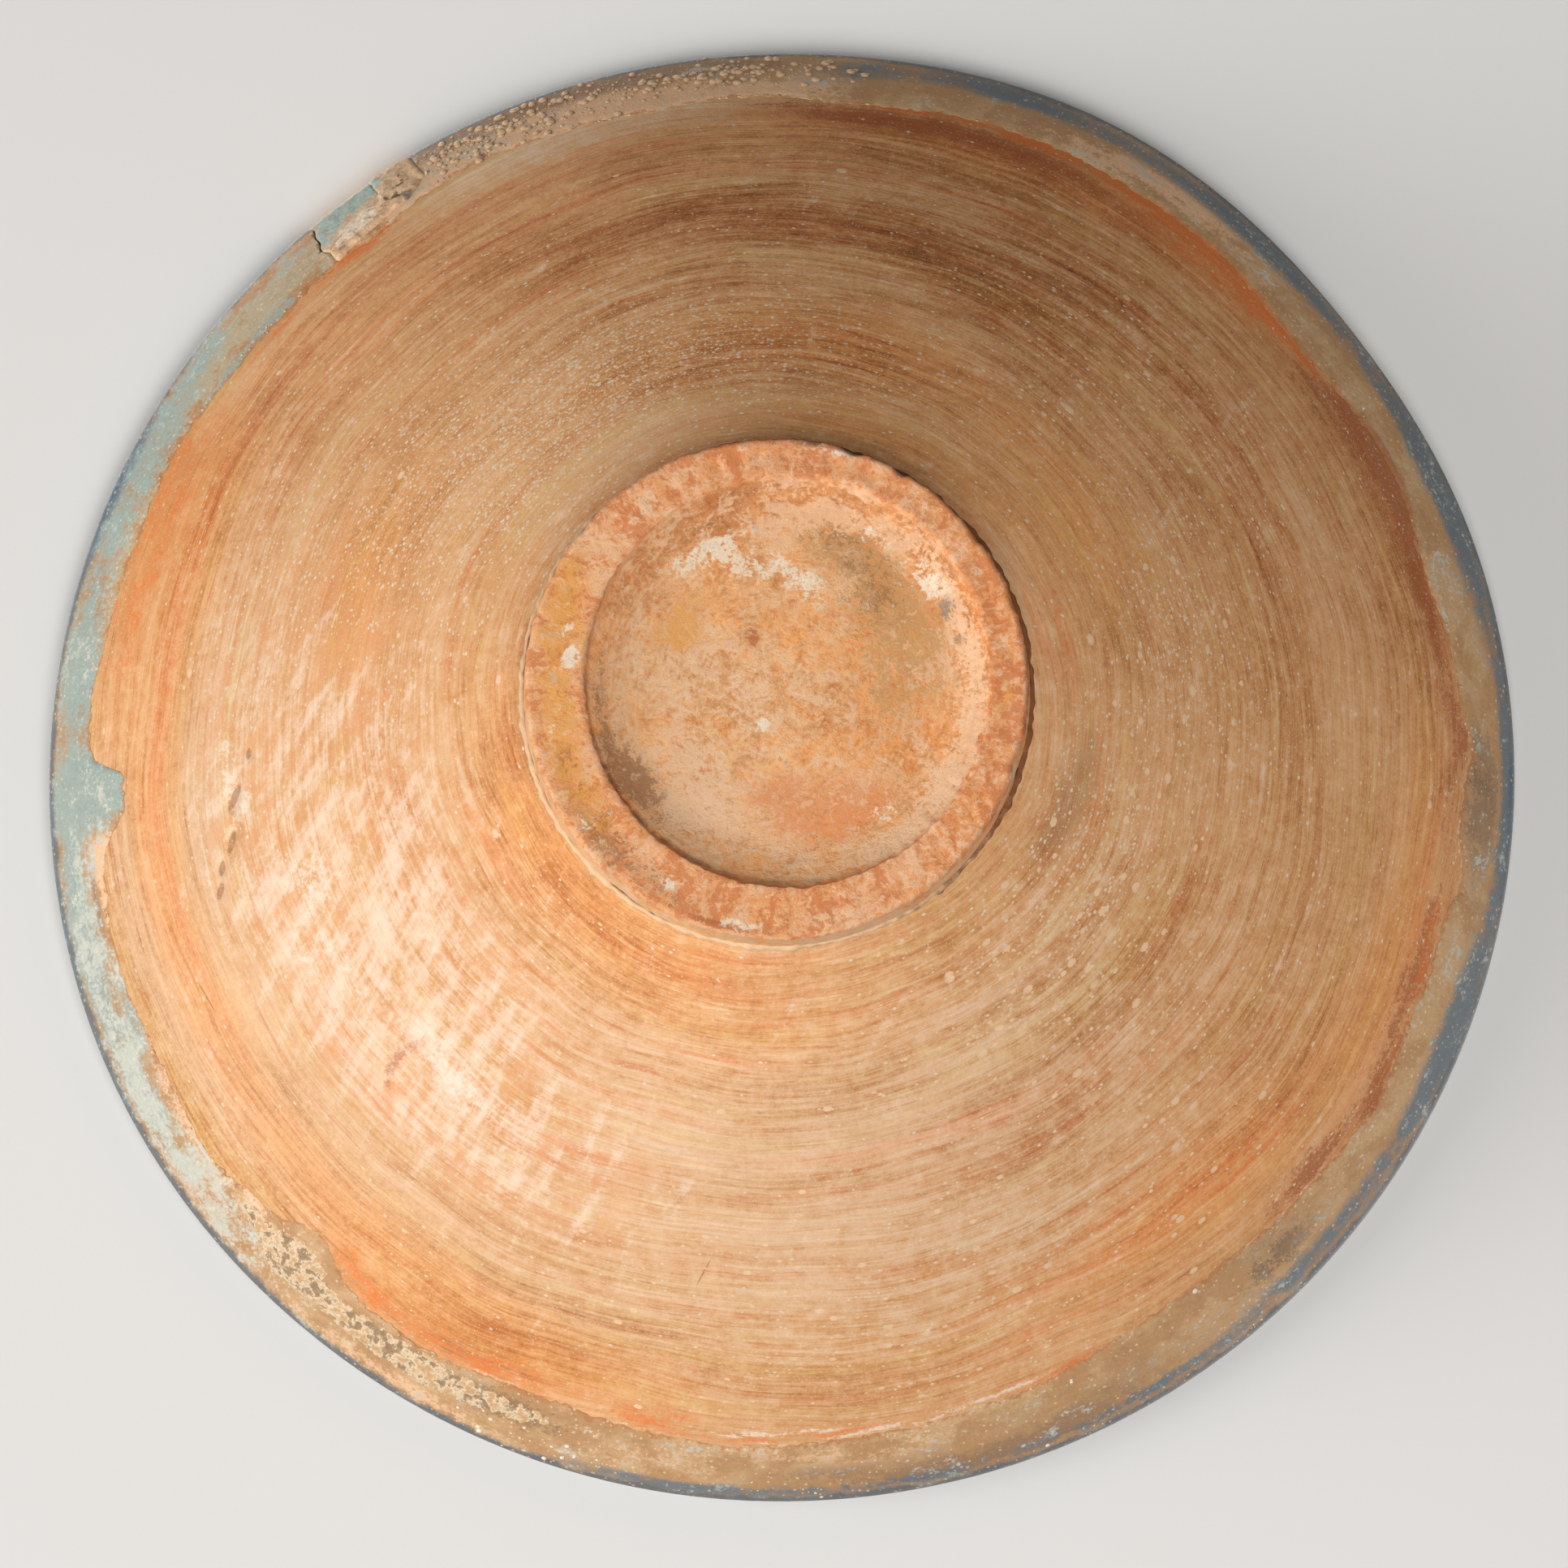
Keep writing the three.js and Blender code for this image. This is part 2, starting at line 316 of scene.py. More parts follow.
def edit_mesh(mesh, edit):
    """Runs an edit on a mesh in its editable form."""
    work = bmesh.new()
    work.from_mesh(mesh)
    edit(work)
    work.to_mesh(mesh)
    work.free()


def new_piece(name, vertices, faces):
    mesh = bpy.data.meshes.new(name)
    mesh.from_pydata(vertices.tolist(), [], faces)
    edit_mesh(mesh, lambda work: bmesh.ops.recalc_face_normals(work, faces=work.faces))
    mesh.shade_smooth()
    return add_object(name, mesh)


def ring_piece(name, rings, joined):
    """A piece from rings of points: the last ring is joined to the first, or both ends are closed."""
    count, turns = rings.shape[:2]
    index = np.arange(count * turns).reshape(count, turns)
    start, end = (index, np.roll(index, -1, 0)) if joined else (index[:-1], index[1:])
    quads = np.stack([start, np.roll(start, -1, 1), np.roll(end, -1, 1), end], -1)
    quads = quads.reshape(-1, 4).tolist()
    vertices = rings.reshape(-1, 3)
    if not joined:
        for row, hub in ((index[0], rings[0].mean(0)), (index[-1], rings[-1].mean(0))):
            middle = len(vertices)
            vertices = np.vstack([vertices, hub])
            quads += [[middle, a, b] for a, b in zip(row.tolist(), np.roll(row, -1).tolist())]
    return new_piece(name, vertices, quads)


def points_of(piece):
    flat = np.empty(len(piece.data.vertices) * 3)
    piece.data.vertices.foreach_get("co", flat)
    return flat.reshape(-1, 3)


def set_points(piece, points):
    piece.data.vertices.foreach_set("co", points.ravel())
    piece.data.update()


def note(piece, name, amounts):
    """Keeps one number for each vertex, for materials and geometry trees to read."""
    kept = piece.data.attributes.new(name, "FLOAT", "POINT")
    kept.data.foreach_set("value", np.asarray(amounts, np.float32))


def bake_modifiers(piece):
    """Replaces the piece's mesh by what its modifiers make of it."""
    graph = bpy.context.evaluated_depsgraph_get()
    mesh = bpy.data.meshes.new_from_object(piece.evaluated_get(graph))
    piece.modifiers.clear()
    piece.data = mesh
    piece.data.name = piece.name
    return piece


def break_frame():
    """The place of the break: x along the rim, y down the wall, z into the bowl."""
    angle = math.radians(break_angle)

    def place(radius, height):
        return Vector((radius * math.cos(angle), radius * math.sin(angle), height))

    axes = Vector((-math.sin(angle), math.cos(angle), 0)), place(*-rim_tangent), place(*-rim_normal)
    return Matrix.Translation(place(*wall_top)) @ Matrix(axes).transposed().to_4x4()


def notch_block():
    """The block that stands for the broken place, to cut it from a piece."""
    depth = [-break_reach * MM, wall_at_rim + break_reach * MM]
    corners = np.array([(x * MM, y * MM, z) for z in depth for x, y in notch_outline])
    n = len(notch_outline)
    sides = [[i, (i + 1) % n, n + (i + 1) % n, n + i] for i in range(n)]
    block = new_piece("notch_block", corners, [list(range(n)), list(range(n, 2 * n)), *sides])
    block.data.transform(break_frame())
    return block


def cut_notch(piece, block):
    cut = piece.modifiers.new("notch", "BOOLEAN")
    cut.object = block
    cut.operation = "DIFFERENCE"
    cut.solver = "MANIFOLD"
    bake_modifiers(piece)
    piece.data.materials.clear()
    piece.data.shade_smooth()


def seat(piece, block):
    """Gives a turned piece the rim's drift, and cuts the broken place from it."""
    set_points(piece, settle(points_of(piece)))
    cut_notch(piece, block)


def inner_share(points):
    """1 on the inside of the wall and 0 on the outside, blended over the lip."""
    radius = distance_from(points)
    outer = np.interp(points[:, 2], wall_points[::-1, 1], wall_points[::-1, 0])
    outer = np.where(points[:, 2] > wall_top[1], lip_centre[0] + 2 * MM, outer)
    return np.clip((outer - radius) / MM / 2 - 0.5, 0, 1)


def down_from_lip(points):
    """How far each point's nearest place on the wall lies down from the lip, in mm."""
    radius = distance_from(points)
    stride = 8
    near = np.argmin(np.abs(radius[:, None] - wall_points[None, ::stride, 0]), 1) * stride
    across = np.stack([radius, points[:, 2]], -1) - wall_points[near]
    tangents = np.stack([-wall_normals[near, 1], wall_normals[near, 0]], -1)
    return (wall_down[near] - np.einsum("ij,ij->i", across, tangents)) / MM


# Node trees

class Wire:
    """An output socket of a node. Arithmetic on it adds Math nodes to its tree."""

    def __init__(self, tree, socket):
        self.tree = tree
        self.socket = socket

    def math(self, operation, *terms):
        return self.tree.node("ShaderNodeMath", terms, operation=operation)

    def __add__(self, other):
        return self.math("ADD", self, other)

    def __sub__(self, other):
        return self.math("SUBTRACT", self, other)

    def __mul__(self, other):
        return self.math("MULTIPLY", self, other)

    def __truediv__(self, other):
        return self.math("DIVIDE", self, other)

    def __pow__(self, other):
        return self.math("POWER", self, other)

    def __rsub__(self, other):
        return self.math("SUBTRACT", other, self)

    def __rtruediv__(self, other):
        return self.math("DIVIDE", other, self)

    __radd__ = __add__
    __rmul__ = __mul__


class Tree:
    """A node tree under construction."""

    def __init__(self, node_tree):
        self.nodes = node_tree.nodes
        self.links = node_tree.links

    def node(self, kind, inputs=(), output=0, **settings):
        made = self.nodes.new(kind)
        for name, value in settings.items():
            setattr(made, name, value)
        for key, value in inputs.items() if isinstance(inputs, dict) else enumerate(inputs):
            self.put(made.inputs[key], value)
        return Wire(self, made.outputs[output])

    def put(self, socket, value):
        if isinstance(value, Wire):
            self.links.new(value.socket, socket)
        else:
            socket.default_value = value

    def vector(self, x, y, z):
        return self.node("ShaderNodeCombineXYZ", (x, y, z))

    def noise(self, vector, scale=1.0, detail=2.0, roughness=0.5, distortion=0.0):
        titles = "Vector", "Scale", "Detail", "Roughness", "Distortion"
        inputs = dict(zip(titles, (vector, scale, detail, roughness, distortion)))
        return self.node("ShaderNodeTexNoise", inputs)

    def scaled(self, vector, scale):
        return self.node("ShaderNodeVectorMath", {0: vector, "Scale": scale}, operation="SCALE")

    def step(self, value, low, high):
        """0 below low and 1 above high, smooth between; low may be the higher."""
        inputs = {"Value": value, "From Min": low, "From Max": high}
        return self.node("ShaderNodeMapRange", inputs, interpolation_type="SMOOTHSTEP")

    def around(self, value, terms):
        """A value moved by noises, each (noise, weight), that count as 0 at their middle."""
        for noise, weight in terms:
            value = value + (noise - 0.5) * weight
        return value

    def measure(self, place):
        """Keeps the coordinates of a place in metres that patterns on a turned pot follow, in mm."""
        self.place = self.scaled(place, 1 / MM)
        self.x, self.y, self.z = (self.node("ShaderNodeSeparateXYZ", (self.place,), i) for i in range(3))
        self.radius = (self.x * self.x + self.y * self.y + 0.01) ** 0.5

    def rings(self, along, across, wander=0.0):
        """A place to read noise at that draws it in rings round the axis. Wander moves them, in mm."""
        turn = [way / self.radius * along for way in (self.x, self.y)]
        return self.vector(*turn, (self.radius + wander) * across)

    def streaks(self, along, across, detail, roughness, wander=0.0):
        """Noise in streaks round the axis: higher numbers make shorter and closer ones."""
        return self.noise(self.rings(along, across, wander), 1.0, detail, roughness)


class Paint(Tree):
    """A material under construction."""

    def __init__(self, name):
        self.material = bpy.data.materials.new(name)
        self.material.use_nodes = True
        super().__init__(self.material.node_tree)
        self.shader = self.nodes["Principled BSDF"]
        self.measure(self.node("ShaderNodeTexCoord", output="Object"))
        self.colour = None
        self.height = 0.0

    def amount(self, name):
        return self.node("ShaderNodeAttribute", output="Fac", attribute_name=name)

    def ramp(self, value, stops):
        """A colour that follows a value through (value, colour) stops."""
        wire = self.node("ShaderNodeValToRGB", (value,))
        elements = wire.socket.node.color_ramp.elements
        while len(elements) < len(stops):
            elements.new(1.0)
        for element, (place, colour) in zip(elements, stops):
            element.position = place
            element.color = (*colour, 1.0)
        self.colour = wire

    def lay(self, colour, amount, blend="MIX"):
        """Lays a colour over what is there, or blends it in another way, by an amount from 0 to 1."""
        colour = (*colour, 1.0) if isinstance(colour, tuple) else colour
        inputs = {0: amount, 6: self.colour, 7: colour}
        self.colour = self.node("ShaderNodeMix", inputs, 2, data_type="RGBA", blend_type=blend)

    def tint(self, colour, amount):
        """Multiplies the colour by another, by an amount from 0 to 1."""
        self.lay(colour, amount, "MULTIPLY")

    def dim(self, amount):
        """Multiplies the colour by a brightness."""
        self.lay(self.node("ShaderNodeCombineColor", (amount, amount, amount)), 1.0, "MULTIPLY")

    def mark(self, colour, name, noises, low, high, strength=1.0):
        """Lays a colour where an attribute, broken up by noises, goes from low to high."""
        self.lay(colour, self.step(self.around(self.amount(name), noises), low, high) * strength)

    def dots(self, scale, share):
        """Round dots of mixed size, 0 to 1, on a share of the cells of a pattern that many to a mm."""
        inputs = {"Vector": self.place, "Scale": scale}
        away = self.node("ShaderNodeTexVoronoi", inputs)
        random = self.node("ShaderNodeTexVoronoi", inputs, "Color")
        red, green = (self.node("ShaderNodeSeparateColor", (random,), i) for i in (0, 1))
        size = green * green * 0.3 + 0.1
        return self.step(away, size, size * 0.5) * self.step(red, 1.02 - share, 1.0 - share)

    def scratch(self, start, end, width):
        """1 on a slim mark between two (x, y) places in mm, seen along the axis, and 0 away from it."""
        length = math.dist(start, end)
        run = [(b - a) / length for a, b in zip(start, end)]
        x, y = (wire - (a + b) / 2 for wire, a, b in zip((self.x, self.y), start, end))
        along = (x * run[0] + y * run[1]) * (2 / length)
        across = (x * run[1] - y * run[0]) * (1 / width)
        return self.step(along * along + across * across, 1.0, 0.2)

    def start(self, colour):
        self.colour = self.node("ShaderNodeRGB")
        self.colour.socket.default_value = (*colour, 1.0)

    def finish(self, roughness, bump=0.2, specular=0.3, coat=0.0):
        self.put(self.shader.inputs["Base Color"], self.colour)
        self.put(self.shader.inputs["Roughness"], roughness)
        self.put(self.shader.inputs["Coat Weight"], coat)
        self.shader.inputs["Specular IOR Level"].default_value = specular
        self.shader.inputs["Coat Roughness"].default_value = 0.3
        if isinstance(self.height, Wire):
            inputs = {"Height": self.height, "Strength": bump, "Distance": 1.0 * MM}
            self.put(self.shader.inputs["Normal"], self.node("ShaderNodeBump", inputs))
        return self.material


class Growth(Tree):
    """A Geometry Nodes tree under construction, with named inputs for its sizes."""

    def __init__(self, name, inputs):
        self.group = bpy.data.node_groups.new(name, "GeometryNodeTree")
        self.sockets = {}
        for title, kind in {"Surface": "Geometry", **inputs, "Material": "Material"}.items():
            made = self.group.interface.new_socket(title, in_out="INPUT", socket_type="NodeSocket" + kind)
            self.sockets[title] = made.identifier
        self.group.interface.new_socket("Result", in_out="OUTPUT", socket_type="NodeSocketGeometry")
        super().__init__(self.group)
        self.given = self.nodes.new("NodeGroupInput")
        self.measure(self.node("GeometryNodeInputPosition"))

    def take(self, title):
        return Wire(self, self.given.outputs[title])

    def amount(self, name):
        return self.node("GeometryNodeInputNamedAttribute", {"Name": name}, data_type="FLOAT")

    def apply(self, piece, geometry, values, smooth=True):
        """Ends the tree in one real mesh of one material, and turns the piece into what it makes."""
        real = self.node("GeometryNodeRealizeInstances", (geometry,))
        shaded = self.node("GeometryNodeSetShadeSmooth", {"Geometry": real, "Shade Smooth": smooth})
        made = self.node("GeometryNodeSetMaterial", {"Geometry": shaded, "Material": self.take("Material")})
        self.put(self.nodes.new("NodeGroupOutput").inputs["Result"], made)
        grow = piece.modifiers.new(self.group.name, "NODES")
        grow.node_group = self.group
        for title, value in values.items():
            grow[self.sockets[title]] = value
        return bake_modifiers(piece)


def roughen(piece, amount, material, depth, level, closeness, turned=0.0):
    """Moves a surface out and in by noise above and below a level, as far as its attribute says.
    Turned noise lies in rings round the axis."""
    sizes = "Depth", "Level", "Closeness", "Turns"
    tree = Growth(piece.name + "_relief", dict.fromkeys(sizes, "Float"))
    close = tree.take("Closeness")
    place = tree.rings(tree.take("Turns"), close) if turned else tree.scaled(tree.place, close)
    grain = tree.noise(place, 1.0, 3.0, 0.55)
    far = (grain - tree.take("Level")) * tree.take("Depth") * tree.amount(amount)
    offset = tree.scaled(tree.node("GeometryNodeInputNormal"), far)
    moved = tree.node("GeometryNodeSetPosition", {"Geometry": tree.take("Surface"), "Offset": offset})
    values = dict(zip(sizes, (depth * MM, level, closeness, turned)), Material=material)
    return tree.apply(piece, moved, values)


# Mounds whose height is a smaller share of their width than this show their facets
flat_height = 0.2


def scatter(name, surface, attribute, count_per_mm2, sizes, shape, rings, seed, material):
    """A piece of many small mounds spread over a surface, as thick as its attribute says.
    Shape is their length and their height as shares of their width, and how rare the large ones are."""
    sockets = ("Density", "Smallest", "Largest", "Length", "Height", "Rarity")
    tree = Growth(name, {**dict.fromkeys(sockets, "Float"), "Seed": "Int"})
    density = tree.amount(attribute) * tree.take("Density")
    spread = {"Mesh": tree.take("Surface"), "Density": density, "Seed": tree.take("Seed")}
    points = tree.node("GeometryNodeDistributePointsOnFaces", spread)
    normal = Wire(tree, points.socket.node.outputs["Normal"])
    upright = tree.node("FunctionNodeAlignRotationToVector", {"Vector": normal}, axis="Z")
    along = {"Rotation": upright, "Vector": tree.vector(tree.y * -1.0, tree.x, 0.0)}
    turned = tree.node("FunctionNodeAlignRotationToVector", along, axis="X", pivot_axis="Z")
    chance = tree.node("FunctionNodeRandomValue", {"Seed": tree.take("Seed")}, 1, data_type="FLOAT")
    smallest = tree.take("Smallest")
    size = smallest + (tree.take("Largest") - smallest) * chance ** tree.take("Rarity")
    ball = tree.node("GeometryNodeMeshUVSphere", {"Segments": rings + 3, "Rings": rings, "Radius": 0.5})
    height = tree.node("ShaderNodeSeparateXYZ", (tree.node("GeometryNodeInputPosition"),), 2)
    tipped = {"Geometry": ball, "Name": "tip", "Value": height * 2.0}
    mound = tree.node("GeometryNodeStoreNamedAttribute", tipped, data_type="FLOAT")
    scale = tree.vector(size * tree.take("Length"), size, size * tree.take("Height"))
    stamped = {"Points": points, "Instance": mound, "Rotation": turned, "Scale": scale}
    values = {
        "Density": count_per_mm2 / MM ** 2, "Smallest": sizes[0] * MM, "Largest": sizes[1] * MM,
        "Length": shape[0], "Height": shape[1], "Rarity": shape[2], "Seed": seed, "Material": material,
    }
    mounds = tree.node("GeometryNodeInstanceOnPoints", stamped)
    return tree.apply(add_object(name, surface.data.copy()), mounds, values, shape[1] > flat_height)


def linear(*display):
    """A colour from its display values, 0 to 255."""
    shares = [value / 255 for value in display]
    return tuple(((s + 0.055) / 1.055) ** 2.4 if s > 0.04 else s / 12.92 for s in shares)


# Clay of the body

CLAY_STOPS = [
    (0.05, linear(126, 74, 38)), (0.30, linear(182, 118, 68)), (0.50, linear(214, 157, 105)),
    (0.70, linear(228, 183, 138)), (0.95, linear(243, 212, 182)),
]
CLAY_FILM = linear(204, 170, 134)
CLAY_CREAM = linear(245, 216, 192)
CLAY_SALMON = linear(230, 158, 114)
CLAY_WHITE = linear(240, 226, 206)
CLAY_GREY = linear(146, 110, 78)
CLAY_RED = linear(180, 92, 48)
CLAY_SCRATCH_AND_SHADE = linear(136, 84, 40)
FLASH_ORANGE = linear(228, 120, 54)
FLASH_BROWN = linear(158, 82, 42)
SLIP_SPECK = linear(222, 193, 162)
ORANGE_TINT = (1.05, 0.86, 0.64)
HAZE_TINT = (1.05, 1.24, 1.6)
OLIVE_TINT = (0.98, 1.01, 0.87)
RED_TINT = (1.04, 0.90, 0.88)
STROKE_LEAN = 58

# Patches on the wall: direction, radius, half length round the bowl, half width, strength, in mm
wall_marks = {
    "pale": [
        (164, 81, 36, 18, 0.9), (136, 83, 32, 15, 0.8), (150, 66, 34, 12, 0.4), (118, 86, 28, 14, 0.4),
        (85, 86, 34, 14, 0.3), (-150, 92, 30, 12, 0.3), (176, 96, 26, 6, 0.4), (-165, 60, 26, 10, 0.3),
        # The pale patch at -120 degrees and 49 mm is painted light, lifting the shade beside the foot
        (-172, 82, 22, 14, 0.4), (-120, 49, 30, 6, 0.45), (-12, 70, 26, 14, 0.25),
    ],
    "haze": [
        (165, 106, 60, 9, 0.9), (130, 106, 50, 9, 0.9), (150, 93, 70, 9, 0.6), (150, 62, 50, 9, 0.6),
        (105, 80, 40, 30, 0.6), (75, 78, 44, 24, 0.9), (-165, 100, 34, 9, 0.3), (45, 66, 34, 14, 0.4),
        (165, 115, 42, 7, 1), (-108, 117, 36, 4, 0.6),
    ],
    "orange": [
        (-163, 111, 34, 9, 1.3), (-160, 74, 20, 8, 0.7), (142, 108, 34, 7, 0.4), (172, 109.5, 40, 5, 1),
        (119, 112, 34, 7, 1.3), (140, 46, 34, 6, 0.8), (95, 55, 30, 6, 0.5), (-85, 64, 44, 7, 0.8),
        (45, 106, 34, 7, 1), (15, 112, 36, 5, 0.8), (-75, 47, 40, 4, 0.6), (-65, 113, 50, 6, 0.9),
        (-30, 58, 20, 8, 0.6), (-120, 104, 40, 8, 0.4),
    ],
    "brown": [
        (-85, 90, 50, 9, 1.2), (-85, 60, 34, 6, 0.8), (-58, 92, 34, 8, 0.8), (-45, 80, 42, 10, 0.2),
        (8, 82, 32, 7, 0.3), (-100, 76, 40, 5, 0.4), (-14, 112, 34, 6, 0.5), (40, 102, 36, 5, 0.4),
        # Brown patches with negative strength are painted light: at -108 degrees they lighten the dim wall
        # under the glaze edge, at -120 degrees the shade beside the foot; the one at 135 degrees and 50 mm
        # is painted shade beside the foot
        (-75, 110, 46, 6, 1.1), (-108, 117, 34, 5, -1.8), (-120, 50, 30, 6, -0.8), (135, 50, 26, 6, 0.4),
    ],
    "grey": [(20, 50.5, 11, 3.2, 0.9), (10, 52, 6, 3, 0.6), (27, 49, 6, 2.5, 0.6)],
    "scuff": [
        (177.5, 95.5, 8, 1.8, 0.7), (173, 93.2, 4, 2, 1), (168, 96, 6, 2, 0.5), (155, 88, 5, 5, 0.6),
        (137, 80, 7, 4, 0.5), (148, 84, 8, 3, 0.5), (162, 84, 6, 5, 0.8), (131, 82, 8, 4, 0.8),
        (168, 101.5, 26, 0.7, 0.6), (140, 103, 20, 0.7, 0.5), (-176, 99, 16, 0.7, 0.5),
    ],
    "red": [
        (137.9, 89.9, 0.9, 1.5, 1.1), (138.8, 87.6, 0.9, 1.5, 1.4), (139.2, 85.3, 1, 1.5, 1.3),
        (138.7, 82.8, 1, 1.5, 1), (137.9, 80.7, 0.9, 1.2, 0.8), (134.5, 84, 4, 1.6, 0.5),
        (170, 66, 3, 1.5, 0.4), (128, 74, 3, 1.6, 0.4),
    ],
}
splash_zones = [
    (-128, 60, 32, 13, 1), (-120, 66, 26, 10, 0.6), (-150, 84, 36, 16, 0.3), (-140, 72, 30, 12, 0.35),
    (-10, 68, 20, 10, 0.4), (30, 54, 22, 8, 0.4), (15, 60, 24, 9, 0.2), (-38, 78, 44, 22, 0.16),
    (75, 98, 60, 15, 0.06), (40, 84, 44, 20, 0.08), (-95, 62, 30, 9, 0.25), (-170, 96, 24, 10, 0.15),
]
drop_zones = [
    (68, 100, 50, 12, 1), (98, 90, 20, 10, 0.6), (45, 86, 30, 16, 0.5), (-12, 70, 14, 7, 1.3),
    (28, 62, 30, 10, 0.7), (-40, 84, 40, 20, 0.4), (48, 60, 24, 11, 3), (20, 60, 20, 9, 2),
]

# Narrow marks in the clay: the two ends as (x, y) and the half width, in mm
scratches = [
    ((-101.4, 40.3), (-97.2, 47.4), 0.2), ((-15, 94.8), (-11.6, 89.1), 0.2),
    # The wider marks lie in the tool marks at the left: partly the dents' own darker clay, partly painted
    # shade in them
    ((-92.4, 7.7), (-95, 13.7), 0.9), ((-93.5, 15.5), (-95, 21.1), 0.8),
    ((-95.8, 20.8), (-96.4, 24.3), 0.8), ((-96, 24.2), (-96.9, 28.3), 0.8),
    ((-90.8, 2.2), (-91.4, 5.1), 0.7),
]

# Tool marks pressed into the wall: direction, radius, half length round the bowl, half width, depth, in mm
gouges = [
    (174.2, 93.9, 1.5, 0.8, 1.1), (172.8, 95, 1.5, 0.9, 1.1), (169.9, 95.3, 1.5, 0.8, 1.1),
    (168.3, 96.5, 1.5, 0.9, 1.1), (166.8, 98.6, 1.2, 0.8, 1), (164.9, 99.9, 1.6, 0.8, 1.1),
    (177.7, 91.2, 1.1, 0.7, 0.8), (138.5, 85.5, 6, 2.2, 0.35), (155.5, 87.5, 2.2, 2, 0.3),
    (-35, 47, 8, 1.6, 0.25),
]

# Marks along the glaze edge: direction, mm below the edge, half length round the rim, half width, strength
edge_marks = {
    "flash": [
        (-50, 1, 26, 2, 1.5), (-44, 2, 16, 2, 1.1), (-50, 5.5, 24, 4, 0.75), (-68, 0.8, 18, 1.8, 1.1),
        (-80, 0.6, 14, 1, 0.6), (-130, 1.6, 9, 2.5, 1.3), (-140, 2, 8, 1.5, 0.7), (-166, 5, 26, 8, 0.5),
        (-155, 5, 16, 8, 0.5), (101, 4, 9, 4, 0.7), (113, 5, 14, 5, 0.35), (126, 3, 14, 5, 0.8),
        (116, 2, 10, 3.5, 0.5), (17, 2.5, 26, 2.4, 0.6), (66, 0.8, 10, 0.9, 0.8), (88, 2, 22, 0.9, 0.7),
        (-8, 1, 12, 1, 0.5),
    ],
    "scorch": [
        (-26, 1.5, 16, 3.2, 1.2), (-29, 6.5, 22, 6, 1), (-14, 2.5, 18, 3, 0.9), (-83, 4, 24, 4, 0.9),
        (-75, 5.5, 24, 3, 0.9), (-2, 3.5, 14, 3, 0.7), (22, 3.5, 30, 3.5, 1), (40, 3, 12, 3, 0.7),
        (-130, 0.8, 12, 1, 0.7), (30, 1.5, 6, 2, 0.6), (-60, 6, 30, 3, 0.7),
    ],
    # Cream lines on ridges near the glaze edge: painted highlights
    "ridge_highlight": [
        (80, 1, 24, 0.7, 1), (92, 3.2, 20, 0.7, 1), (70, 2, 8, 0.6, 0.9), (6, 0.2, 14, 0.6, 0.9),
        (40, 0.2, 12, 0.5, 0.9), (-87, 0.2, 10, 0.5, 0.6), (103, 0.4, 8, 0.6, 0.7),
        (115, 0.4, 12, 0.6, 0.7), (-8, 0.3, 10, 0.5, 0.5),
    ],
    "crumbs": [
        (-6, 0, 18, 0.9, 1), (8, 0, 14, 0.9, 1), (40, 0, 20, 1, 1), (104, 0, 14, 0.9, 0.7),
        (122, 0, 26, 1.2, 0.8), (-165, 0, 40, 0.8, 0.6), (-100, 0, 40, 0.8, 0.5), (150, 0, 30, 1, 0.6),
        (75, 0, 30, 0.8, 0.4), (-135, 0, 14, 0.8, 0.6), (-60, 0, 60, 0.6, 0.25),
    ],
}


